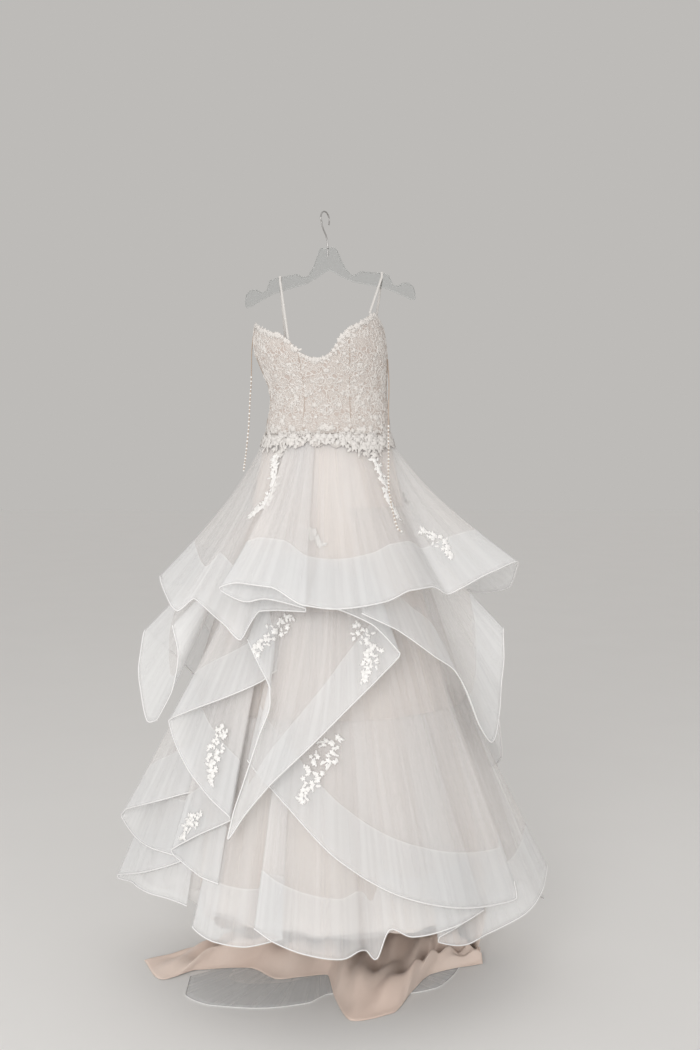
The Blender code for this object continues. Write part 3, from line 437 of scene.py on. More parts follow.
@dataclass(frozen=True)
class CordedLace(Finish):
    """Ivory corded lace over a lining, or cut out where there is none.

    Attributes:
        ground: the lining's colour between the motifs.
        motifs: how many motifs fit in a metre.
        opacity: how much the ground covers, 1 over a lining.
    """

    ground: Colour = (0.80, 0.68, 0.60)
    motifs: float = 34.0
    opacity: float = 1.0

    def material(self) -> Material:
        """Builds the lace's colour, cover and relief."""
        made, tree, shader = self.start()
        cut = tree.node("ShaderNodeUVMap").outputs[0]
        lace = self.place(tree, EFFECTS.lace(), cut, Motifs=self.motifs)
        net = self.place(tree, EFFECTS.net(), cut, Cells=700.0)
        between = tree.sum("MULTIPLY", net.outputs["Threads"], 0.25)
        shown = tree.sum("MAXIMUM", lace.outputs["Motif"], between)
        colour = tree.blend(shown, self.ground, self.colour)
        tree.feed(shader, {"Base Color": colour})
        if self.opacity < 1.0:
            cover = tree.rise(shown, 0.05, 0.6, 1.0 - self.opacity)
            tree.feed(shader, {"Alpha": tree.sum("ADD", cover, self.opacity)})
        height = tree.sum("MULTIPLY_ADD", net.outputs["Threads"], 0.06, lace.outputs["Height"])
        self.raise_by(tree, shader, height, 0.0022)
        return made


@dataclass(frozen=True)
class Clear(Finish):
    """Clear moulded plastic with faint flow marks."""

    def material(self) -> Material:
        """Builds the plastic."""
        made, tree, shader = self.start()
        shader.inputs["Transmission Weight"].default_value = 0.95
        shader.inputs["IOR"].default_value = 1.47
        soft = self.soft(tree, 35.0, 80.0)
        scuffs = tree.rise(soft["Tone"], 0.5, 0.8)
        tree.feed(shader, {"Roughness": tree.sum("MULTIPLY_ADD", scuffs, 0.06, self.rough)})
        self.raise_by(tree, shader, soft["Height"], 0.0001)
        return made


@dataclass(frozen=True)
class Metal(Finish):
    """Polished wire with fine drawing marks."""

    def material(self) -> Material:
        """Builds the metal."""
        made, tree, shader = self.start()
        shader.inputs["Metallic"].default_value = 1.0
        soft = self.soft(tree, 400.0, 60.0)
        marks = tree.sum("MULTIPLY_ADD", soft["Height"], 0.2, self.rough)
        tree.feed(shader, {"Roughness": marks})
        self.raise_by(tree, shader, soft["Height"], 0.0001)
        return made


@dataclass(frozen=True)
class Pearl(Finish):
    """A pearl or crystal bead with a clear coat, which drifts to a warm colour."""

    warm: Colour = (0.90, 0.87, 0.83)

    def material(self) -> Material:
        """Builds the bead's lustre."""
        made, tree, shader = self.start()
        shader.inputs["Coat Weight"].default_value = 0.8
        shader.inputs["Coat Roughness"].default_value = 0.08
        soft = self.soft(tree, 300.0, 300.0)
        lustre = tree.rise(soft["Height"], 0.35, 0.65)
        tree.feed(shader, {"Base Color": tree.blend(lustre, self.colour, self.warm)})
        return made


# Forms -------------------------------------------------------------------------------------


class Section(NamedTuple):
    """A level of a form round the body: how far it reaches each way, and its pleats' depth."""

    height: float
    left: float
    right: float
    front: float
    back: float
    pleat: float


class Turn(NamedTuple):
    """One turn of a hem: its ply, where it is stitched, and the hem's own place and lift."""

    ply: float
    root: float
    angle: float
    height: float
    lift: float


class Edge(NamedTuple):
    """The height of an edge at an angle."""

    angle: float
    height: float


class Spread(NamedTuple):
    """A point of the train's edge on the floor, and the height of the ridge behind it."""

    x: float
    y: float
    rise: float


class Ripple(NamedTuple):
    """Small folds of laid cloth: half their height, their turns across and down it, their sway."""

    high: float
    across: float
    down: float
    sway: float


class Arm(NamedTuple):
    """A point of the hanger's half outline: how far out, and its top and bottom."""

    out: float
    top: float
    bottom: float


def table(kind: type, *rows: tuple[float, ...]) -> tuple:
    """Makes a row of this kind from each tuple of numbers."""
    return tuple(kind(*row) for row in rows)


def edge_at(rows: Sequence[Edge], angle: Any) -> np.ndarray:
    """Returns the height of an edge at this angle, between its rows."""
    angles, heights = zip(*rows)
    return np.interp(angle, angles, heights)


def linked(name: str, data: Any) -> Object:
    """Makes an object of its data, and links it to the scene."""
    made = bpy.data.objects.new(name, data)
    bpy.context.scene.collection.objects.link(made)
    return made


def smooth_rows(rows: Any, at: Any) -> np.ndarray:
    """Finds points of a smooth curve through rows.

    Args:
        rows: the rows, each a list of numbers.
        at: row positions, such as 2.25.

    Returns:
        One row of numbers for each position.
    """
    rows = np.asarray(rows, float)
    ends = np.vstack([2 * rows[0] - rows[1], rows, 2 * rows[-1] - rows[-2]])
    at = np.clip(np.asarray(at, float), 0, len(rows) - 1)
    first = np.minimum(at.astype(int), len(rows) - 2)
    share = (at - first)[:, None]
    before, start, end, after = (ends[first + k] for k in range(4))
    out, into = (end - before) / 2, (after - start) / 2
    limit = 1.2 * np.abs(end - start)
    out, into = np.clip(out, -limit, limit), np.clip(into, -limit, limit)
    two, three = share**2, share**3
    return (
        (2 * three - 3 * two + 1) * start + (three - 2 * two + share) * out
        + (3 * two - 2 * three) * end + (three - two) * into
    )


def unit(vectors: np.ndarray) -> np.ndarray:
    """Returns the vectors at length 1."""
    return vectors / np.maximum(np.linalg.norm(vectors, axis=-1, keepdims=True), 1e-12)


@dataclass(frozen=True)
class BodyForm:
    """A form round the body's middle line, given by its sections."""

    sections: tuple[Section, ...]

    def level(self, column: str, height: Any) -> np.ndarray:
        """Returns a section's measure at this height, between its rows."""
        heights = [-section.height for section in self.sections]
        measures = [getattr(section, column) for section in self.sections]
        return np.interp(-np.asarray(height), heights, measures)

    def point(self, angle: Any, height: Any, lift: Any) -> np.ndarray:
        """Returns the points at these angles and heights, this far out from the form."""
        turn = np.radians(angle)
        side, fore = np.sin(turn), np.cos(turn)
        out = lift + self.level("pleat", height) * np.cos(PLEATS * turn)
        beside = np.where(side > 0, self.level("right", height), self.level("left", height))
        along = np.where(fore > 0, self.level("front", height), self.level("back", height))
        x, y = BODY_CENTRE_X + (beside + out) * side, -(along + out) * fore
        return np.stack([x, y, height * np.ones_like(side)], -1)

    def spot(self, angle: float, height: float, lift: float) -> np.ndarray:
        """Returns one point at this angle and height, this far out from the form."""
        return self.point(np.array([angle]), np.array([height]), lift)[0]


def wall_normals(grid: np.ndarray, ring: bool = False) -> np.ndarray:
    """Finds the normals of a grid of points [column, level].

    Args:
        grid: the points.
        ring: whether the last column lies on the first.

    Returns:
        A normal for each point, mitred at the folds.
    """
    down = np.gradient(grid, axis=1)
    faces = unit(np.cross(unit(np.diff(grid, axis=0)), unit(down[1:] + down[:-1])))
    before, after = (faces[-1:], faces[:1]) if ring else (faces[:1], faces[-1:])
    into, onward = np.concatenate([before, faces]), np.concatenate([faces, after])
    normal = unit(into + onward)
    return normal / np.maximum(np.sum(normal * onward, axis=-1, keepdims=True), 0.7)


def run_along(points: np.ndarray) -> np.ndarray:
    """Returns how far along each point lies from the first, in metres."""
    steps = np.linalg.norm(np.diff(points, axis=0), axis=-1)
    return np.concatenate([np.zeros((1, *steps.shape[1:])), np.cumsum(steps, axis=0)])


def cloth_uv(grid: np.ndarray) -> np.ndarray:
    """Returns a flat map of a grid, in metres: U along the hem, V up from it."""
    along = run_along(grid[:, -1])[:, None] * np.ones(grid.shape[1])
    down = run_along(np.swapaxes(grid, 0, 1)).T
    return np.stack([along, down[:, -1:] - down], -1)


def cloth_cut(grid: np.ndarray) -> tuple[tuple[float, float], float]:
    """Measures the flat cut that a grid of cloth takes.

    Args:
        grid: points [column, level].

    Returns:
        The cut's width and length, and its area.
    """
    across, down = grid[1:, :-1] - grid[:-1, :-1], grid[:-1, 1:] - grid[:-1, :-1]
    area = float(np.linalg.norm(np.cross(across, down), axis=-1).sum())
    flat = cloth_uv(grid)
    wide = max(float(run_along(grid[:, k])[-1].max()) for k in (0, -1))
    tall = min(float(flat[..., 1].max()), area / (0.4 * wide))
    return (wide, tall), min(area, wide * tall)


class Shop:
    """Makes pieces: meshes, walls, tubes, and copies set along lines or over surfaces."""

    def __init__(self) -> None:
        """Starts with no finish made."""
        self.made: dict[Finish, Material] = {}

    def coat(self, finish: Finish) -> Material:
        """Returns the finish's material, made once."""
        if finish not in self.made:
            self.made[finish] = finish.material()
        return self.made[finish]

    def piece(self, name: str, mesh: Mesh, finish: Finish) -> Object:
        """Links a mesh as a finished piece that rides on the dress."""
        mesh.materials.clear()
        mesh.materials.append(self.coat(finish))
        mesh.shade_smooth()
        made = linked(name, mesh)
        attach(made, BODY)
        return made

    def mesh(self, name: str, points: np.ndarray, faces: Sequence[Sequence[int]],
             uv: np.ndarray | None = None) -> Mesh:
        """Makes a mesh from points and faces, with a UV map where each point has one."""
        made = bpy.data.meshes.new(name)
        made.from_pydata(np.asarray(points).tolist(), [], [list(map(int, face)) for face in faces])
        if uv is not None:
            index = np.empty(len(made.loops), np.int32)
            made.loops.foreach_get("vertex_index", index)
            layer = made.uv_layers.new(name="cut")
            layer.data.foreach_set("uv", uv[index].astype(np.float32).reshape(-1))
        made.update()
        return made

    def wall(self, name: str, grid: np.ndarray, thick: float, finish: Finish,
             ring: bool = False) -> Object:
        """Makes a closed thin wall on a grid of points.

        Args:
            name: the piece's name.
            grid: points [column, level].
            thick: the wall's thickness, half of it on each side.
            finish: what it is made of.
            ring: whether its last column lies on its first.

        Returns:
            The piece.
        """
        normals = wall_normals(grid, ring)
        columns, levels = grid.shape[:2]
        points = np.concatenate([(grid + s * normals * thick / 2).reshape(-1, 3) for s in (1, -1)])
        back = columns * levels
        place = np.arange(back).reshape(columns, levels)
        a, b = place[:-1, :-1].ravel(), place[1:, :-1].ravel()
        c, d = place[1:, 1:].ravel(), place[:-1, 1:].ravel()
        front_faces = np.stack([a, b, c, d], 1)
        back_faces = np.stack([d, c, b, a], 1) + back
        rim = np.concatenate([
            place[:, 0], place[-1, 1:], place[-2::-1, -1], place[0, -2:0:-1],
        ])
        onward = np.roll(rim, -1)
        rim_faces = np.stack([rim, rim + back, onward + back, onward], 1)
        faces = np.concatenate([front_faces, back_faces, rim_faces])
        corners = points[faces[:, :3]]
        volume = np.einsum("ij,ij->", corners[:, 0], np.cross(corners[:, 1], corners[:, 2]))
        if volume < 0:
            faces = faces[:, ::-1]
        flat = np.concatenate([cloth_uv(grid).reshape(-1, 2)] * 2)
        return self.piece(name, self.mesh(name, points, faces, flat), finish)

    def shape(self, name: str, points: np.ndarray, faces: Sequence[Sequence[int]]) -> Object:
        """Makes a small shape for others to copy, which isn't a piece and is removed after use."""
        return linked(name, self.mesh(name, points, faces))

    def ball(self, name: str, radius: float) -> Object:
        """Makes a small faceted ball for others to copy."""
        maker = bmesh.new()
        bmesh.ops.create_icosphere(maker, subdivisions=1, radius=radius)
        mesh = bpy.data.meshes.new(name)
        maker.to_mesh(mesh)
        maker.free()
        return linked(name, mesh)

    def line(self, name: str, *runs: np.ndarray) -> Object:
        """Makes a line along each run of points, for a tree to follow."""
        curve = bpy.data.curves.new(name, "CURVE")
        curve.dimensions = "3D"
        for points in runs:
            spline = curve.splines.new("POLY")
            spline.points.add(len(points) - 1)
            spline.points.foreach_set("co", np.hstack([points, np.ones((len(points), 1))]).ravel())
        return linked(name, curve)

    def grown(self, name: str, holder: Object, tree: NodeTree,
              values: dict[str, Any], finish: Finish) -> Object:
        """Runs a geometry tree on its holder and keeps the result as a plain piece.

        Args:
            name: the piece's name.
            holder: the object that the tree starts from, which is removed.
            tree: the geometry tree, whose Coat input takes the material.
            values: its other inputs, by name.
            finish: what the piece is made of.

        Returns:
            The piece.
        """
        live = holder.modifiers.new("growth", "NODES")
        live.node_group = tree
        for item in tree.interface.items_tree:
            if item.in_out == "INPUT" and item.name in values:
                live[item.identifier] = values[item.name]
            elif item.in_out == "INPUT" and item.name == "Coat":
                live[item.identifier] = self.coat(finish)
        bpy.context.view_layer.update()
        graph = bpy.context.evaluated_depsgraph_get()
        mesh = bpy.data.meshes.new_from_object(holder.evaluated_get(graph), depsgraph=graph)
        mesh.name = name
        data = holder.data
        bpy.data.objects.remove(holder)
        (bpy.data.curves if isinstance(data, bpy.types.Curve) else bpy.data.meshes).remove(data)
        return self.piece(name, mesh, finish)

    def growth_tree(self, name: str, takes: dict[str, str],
                    wire: Callable[[Tree, Any], NodeSocket]) -> NodeTree:
        """Builds a geometry tree once: its inputs, its own nodes, then real copies in the coat."""
        if name in bpy.data.node_groups:
            return bpy.data.node_groups[name]
        made = bpy.data.node_groups.new(name, "GeometryNodeTree")
        geometry = "NodeSocketGeometry"
        made.interface.new_socket(name="Geometry", in_out="INPUT", socket_type=geometry)
        for title, kind in {**takes, "Coat": "NodeSocketMaterial"}.items():
            made.interface.new_socket(name=title, in_out="INPUT", socket_type=kind)
        made.interface.new_socket(name="Geometry", in_out="OUTPUT", socket_type=geometry)
        tree = Tree(made)
        given = made.nodes.new("NodeGroupInput").outputs
        grown = wire(tree, given)
        real = tree.node("GeometryNodeRealizeInstances", {"Geometry": grown})
        coated = tree.node("GeometryNodeSetMaterial", {
            "Geometry": real.outputs[0], "Material": given["Coat"],
        })
        tree.node("NodeGroupOutput", {0: coated.outputs[0]})
        return made

    def cord_tree(self) -> NodeTree:
        """A round cord along a line: radius and sides."""

        def wire(tree: Tree, given: Any) -> NodeSocket:
            """Sweeps a circle along the line."""
            round_ = tree.node("GeometryNodeCurvePrimitiveCircle", {
                "Resolution": given["Sides"], "Radius": given["Radius"],
            })
            return tree.node("GeometryNodeCurveToMesh", {
                "Curve": given["Geometry"], "Profile Curve": round_.outputs[0],
                "Fill Caps": True,
            }).outputs[0]

        takes = {"Radius": "NodeSocketFloat", "Sides": "NodeSocketInt"}
        return self.growth_tree("swept_cord", takes, wire)

    def cord(self, name: str, radius: float, finish: Finish, *runs: np.ndarray,
             sides: int = 6) -> Object:
        """Makes a closed round cord along each run of points."""
        values = {"Radius": radius, "Sides": sides}
        return self.grown(name, self.line(name, *runs), self.cord_tree(), values, finish)

    def row_tree(self) -> NodeTree:
        """Copies of a small shape, a set distance apart along a line."""

        def wire(tree: Tree, given: Any) -> NodeSocket:
            """Sets a copy at each step, turned along the line."""
            spaced = tree.node("GeometryNodeCurveToPoints", {
                "Curve": given["Geometry"], "Length": given["Apart"],
            }, mode="LENGTH")
            shape = tree.node("GeometryNodeObjectInfo", {"Object": given["Shape"]})
            size = tree.node("FunctionNodeRandomValue", {2: 0.7, 3: 1.0, "Seed": SEED},
                             data_type="FLOAT")
            copies = tree.node("GeometryNodeInstanceOnPoints", {
                "Points": spaced.outputs["Points"], "Instance": shape.outputs["Geometry"],
                "Rotation": spaced.outputs["Rotation"], "Scale": size.outputs[1],
            })
            return copies.outputs[0]

        takes = {"Shape": "NodeSocketObject", "Apart": "NodeSocketFloat"}
        return self.growth_tree("row_of_copies", takes, wire)

    def row(self, name: str, points: np.ndarray, shape: Object, apart: float,
            finish: Finish) -> Object:
        """Sets copies of a shape along points."""
        values = {"Shape": shape, "Apart": apart}
        return self.grown(name, self.line(name, points), self.row_tree(), values, finish)

    def field_tree(self) -> NodeTree:
        """Copies of a small shape at points, each with its own turn and size."""

        def wire(tree: Tree, given: Any) -> NodeSocket:
            """Sets a copy at each point from the point's own attributes."""
            shape = tree.node("GeometryNodeObjectInfo", {"Object": given["Shape"]})
            turn, size = (
                tree.node("GeometryNodeInputNamedAttribute", {"Name": title},
                          data_type="FLOAT_VECTOR")
                for title in ("turn", "size")
            )
            way = tree.node("FunctionNodeEulerToRotation", {0: turn.outputs[0]})
            points = tree.node("GeometryNodeMeshToPoints", {"Mesh": given["Geometry"]})
            copies = tree.node("GeometryNodeInstanceOnPoints", {
                "Points": points.outputs[0], "Instance": shape.outputs["Geometry"],
                "Rotation": way.outputs[0], "Scale": size.outputs[0],
            })
            return copies.outputs[0]

        return self.growth_tree("field_of_copies", {"Shape": "NodeSocketObject"}, wire)

    def field(self, name: str, spots: Sequence[Spot | None], shape: Object,
              finish: Finish) -> Object:
        """Sets a copy of a shape at each spot that was found."""
        spots = [spot for spot in spots if spot]
        mesh = bpy.data.meshes.new(name)
        mesh.from_pydata([tuple(spot.place) for spot in spots], [], [])
        for title, values in (
            ("turn", [spot.euler() for spot in spots]), ("size", [spot.size for spot in spots]),
        ):
            layer = mesh.attributes.new(title, "FLOAT_VECTOR", "POINT")
            layer.data.foreach_set("vector", np.asarray(values, np.float32).ravel())
        return self.grown(name, linked(name, mesh), self.field_tree(), {"Shape": shape}, finish)


@dataclass
class Spot:
    """A place on a surface for a small shape: its outward normal, where its X runs, its size."""

    place: Vector
    normal: Vector
    along: Vector
    size: tuple[float, float, float]

    def euler(self) -> tuple[float, float, float]:
        """Returns the turn that lays the shape on the surface."""
        up = self.normal.normalized()
        across = up.cross(self.along).normalized()
        along = across.cross(up)
        return tuple(Matrix((along, across, up)).transposed().to_euler())


SHOP = Shop()

IVORY_NET = Tulle(
    "ivory_tulle", Slot.NET, (0.97, 0.955, 0.945), rough=0.9, sheen=0.15, opacity=0.21, band=0.125,
    band_opacity=0.32, band_colour=(0.95, 0.95, 0.952),
)
UNDER_NET = Tulle("under_tulle", Slot.NET, (0.97, 0.935, 0.91), rough=0.9, sheen=0.2, opacity=0.23)
HEM_CORD = Finish("hem_cord", Slot.NET, (0.89, 0.882, 0.875), rough=0.6, sheen=0.1)
# Lining satin: its own blush colour, painted lighter than the train's same satin to make up for the
# shade of the tulle over it.
BLUSH_SATIN_PAINTED_LIGHTER = Satin("blush_satin", Slot.SATIN, (0.985, 0.87, 0.79), rough=0.38, sheen=0.1)
TRAIN_SATIN = Satin(
    "train_satin", Slot.SATIN, (0.96, 0.80, 0.70), rough=0.34, sheen=0.1, shade=(0.88, 0.70, 0.60),
    across=9.0, along=6.0, crease=0.030,
)
BODICE_LACE = CordedLace(
    "bodice_lace", Slot.LACE, (0.76, 0.72, 0.68), rough=0.75, sheen=0.1, ground=(0.53, 0.45, 0.405),
)
TRIM_LACE = CordedLace(
    "trim_lace", Slot.APPLIQUE, (0.84, 0.80, 0.765), rough=0.75, ground=(0.80, 0.74, 0.69),
    motifs=48.0, opacity=0.05,
)
MOTIF = Finish("white_motif", Slot.APPLIQUE, (0.95, 0.935, 0.915), rough=0.65, sheen=0.1)
WAIST_MOTIF = Finish("waist_motif", Slot.APPLIQUE, (0.77, 0.74, 0.71), rough=0.7, sheen=0.1)
SIDE_NET = CordedLace(
    "side_illusion", Slot.ILLUSION, (0.60, 0.54, 0.48), rough=0.75, ground=(0.40, 0.31, 0.25),
    motifs=26.0,
)
STRAP = Finish("strap_satin", Slot.LACE, (0.62, 0.595, 0.57), rough=0.45, sheen=0.1)
CLEAR = Clear("clear_plastic", Slot.PLASTIC, (0.87, 0.885, 0.885), rough=0.04)
CHROME = Metal("hook_chrome", Slot.CHROME, (0.42, 0.41, 0.40), rough=0.22)
PEARL = Pearl("pearl_bead", Slot.BEADS, (0.97, 0.96, 0.94), rough=0.25)
LACE_CORD = Finish("lace_cord", Slot.LACE, (0.84, 0.805, 0.77), rough=0.6, sheen=0.1)
LACE_MOTIF = Finish("lace_motif", Slot.LACE, (0.76, 0.725, 0.69), rough=0.7, sheen=0.1)
SEAM_PIPING = Finish("seam_piping", Slot.LACE, (0.55, 0.46, 0.40), rough=0.7)
BEAD_THREAD = Finish("bead_thread", Slot.BEADS, (0.50, 0.41, 0.34), rough=0.7)

SKIRT = BodyForm(table(
    Section,
    (-0.545, 0.153, 0.155, 0.095, 0.085, 0.0), (-0.70, 0.190, 0.190, 0.130, 0.105, 0.0),
    (-0.90, 0.250, 0.250, 0.185, 0.135, 0.0), (-1.10, 0.315, 0.315, 0.240, 0.165, 0.0),
    (-1.30, 0.375, 0.380, 0.290, 0.190, 0.002), (-1.50, 0.430, 0.445, 0.325, 0.215, 0.004),
    (-1.75, 0.495, 0.520, 0.356, 0.240, 0.006),
))
SATIN = BodyForm(table(
    Section,
    (-0.545, 0.1508, 0.1528, 0.0928, 0.0828, 0.0), (-0.70, 0.182, 0.182, 0.123, 0.099, 0.001),
    (-0.90, 0.225, 0.225, 0.165, 0.122, 0.003), (-1.30, 0.290, 0.315, 0.250, 0.165, 0.007),
    (-1.70, 0.320, 0.395, 0.305, 0.200, 0.010), (-1.80, 0.325, 0.400, 0.312, 0.205, 0.010),
))
BODICE = BodyForm(table(
    Section,
    (-0.250, 0.172, 0.128, 0.105, 0.085, 0.0), (-0.280, 0.180, 0.139, 0.116, 0.088, 0.0),
    (-0.313, 0.182, 0.144, 0.122, 0.090, 0.0), (-0.348, 0.178, 0.148, 0.122, 0.090, 0.0),
    (-0.385, 0.163, 0.149, 0.113, 0.088, 0.0), (-0.424, 0.146, 0.146, 0.101, 0.085, 0.0),
    (-0.456, 0.140, 0.147, 0.095, 0.083, 0.0), (-0.486, 0.142, 0.151, 0.093, 0.083, 0.0),
    (-0.511, 0.149, 0.154, 0.094, 0.084, 0.0), (-0.545, 0.153, 0.155, 0.095, 0.085, 0.0),
))


# Hanger ------------------------------------------------------------------------------------


@dataclass
class Hanger:
    """The clear plastic hanger, its chrome hook and the place of its tilted arms."""

    tilt: float = math.radians(-2.65)
    thick: float = 0.007
    neck: Point = (0.007, 0.0, -0.086)
    wire: float = 0.0018
    rod: float = 0.0165
    hook_turn: float = math.radians(57)
    stem_in_neck: float = 0.022
    rim: float = 0.0028
    sink: float = 0.0022
    soft_edge: float = 0.0008
    arm: tuple[Arm, ...] = table(Arm,
        (0.000, 0.000, -0.055), (0.018, 0.000, -0.064), (0.023, -0.006, -0.068),
        (0.031, -0.0275, -0.073), (0.041, -0.050, -0.078), (0.055, -0.068, -0.085),
        (0.065, -0.068, -0.088), (0.078, -0.060, -0.091), (0.131, -0.0675, -0.104),
        (0.1475, -0.073, -0.110), (0.157, -0.098, -0.115), (0.168, -0.100, -0.120),
        (0.182, -0.093, -0.127), (0.196, -0.094, -0.135), (0.207, -0.104, -0.138),
        (0.211, -0.119, -0.132),
    )

    def place(self, out: float, height: float) -> Point:
        """Returns a point of the hanger's middle plane."""
        x, y, z = self.neck
        cos, sin = math.cos(self.tilt), math.sin(self.tilt)
        return x + out * cos + height * sin, y, z - out * sin + height * cos

    def top(self, out: float) -> float:
        """Returns the height of the arm's top this far out, before it tilts."""
        return float(np.interp(abs(out), [a.out for a in self.arm], [a.top for a in self.arm]))

    def build_body(self) -> None:
        """Makes the hanger: a plate with a raised rim all round.

        bmesh leaves the faces in an order that changes by run, so they are sorted.
        """
        right = [(a.out, a.top) for a in self.arm] + [(a.out, a.bottom) for a in reversed(self.arm)]
        left = [(-out, height) for out, height in reversed(right) if out > 0]
        maker = bmesh.new()
        ring = [
            maker.verts.new((x, y - self.thick / 2, z))
            for x, y, z in (self.place(*spot) for spot in right + left)
        ]
        face = maker.faces.new(ring)
        grown = bmesh.ops.extrude_face_region(maker, geom=[face])
        moved = [part for part in grown["geom"] if isinstance(part, bmesh.types.BMVert)]
        bmesh.ops.translate(maker, verts=moved, vec=(0, self.thick, 0))
        bmesh.ops.recalc_face_normals(maker, faces=maker.faces)
        for side in [f for f in maker.faces if abs(f.normal.y) > 0.9]:
            bmesh.ops.inset_region(maker, faces=[side], thickness=self.rim, depth=-self.sink)
        bmesh.ops.triangulate(maker, faces=[f for f in maker.faces if len(f.verts) > 4])
        corners = [[tuple(vert.co) for vert in face.verts] for face in maker.faces]
        maker.free()
        points = sorted({corner for face in corners for corner in face})
        places = {point: place for place, point in enumerate(points)}
        faces = sorted([places[corner] for corner in face] for face in corners)
        mesh = SHOP.mesh("hanger_plate", np.array(points), faces)
        made = SHOP.piece("hanger_plate", mesh, CLEAR)
        soften = made.modifiers.new("rounded", "BEVEL")
        soften.width, soften.segments, soften.limit_method = self.soft_edge, 2, "ANGLE"
        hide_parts("hanger_body")

    def build_hook(self) -> None:
        """Makes the wire hook over the rod."""
        bend = self.rod + self.wire
        stem_x, _, neck_top = self.neck
        arc = [math.radians(turn) for turn in range(-35, 216, 6)]
        spots = [(bend * math.cos(a), -self.rod + bend * math.sin(a)) for a in arc]
        down = ((-0.0165, -0.033), (-0.011, -0.045), (-0.003, -0.056), (0.0, -0.066))
        spots += [*down, (0.0, neck_top), (0.0, neck_top - self.stem_in_neck + 2 * SEAM_GAP)]
        points = []
        for p, z in spots:
            lean = stem_x * min(max((-self.rod - z) / (-self.rod - neck_top), 0.0), 1.0)
            points.append((lean + p * math.cos(self.hook_turn), p * math.sin(self.hook_turn), z))
        made = SHOP.cord("hook_wire", self.wire, CHROME, np.array(points), sides=14)
        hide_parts("hanger_hook")

    def build(self) -> None:
        """Makes the hanger and its hook."""
        self.build_body()
        self.build_hook()


# Bodice ------------------------------------------------------------------------------------


class Panel(NamedTuple):
    """A bodice panel, by the angle at which it starts."""

    name: str
    start: float


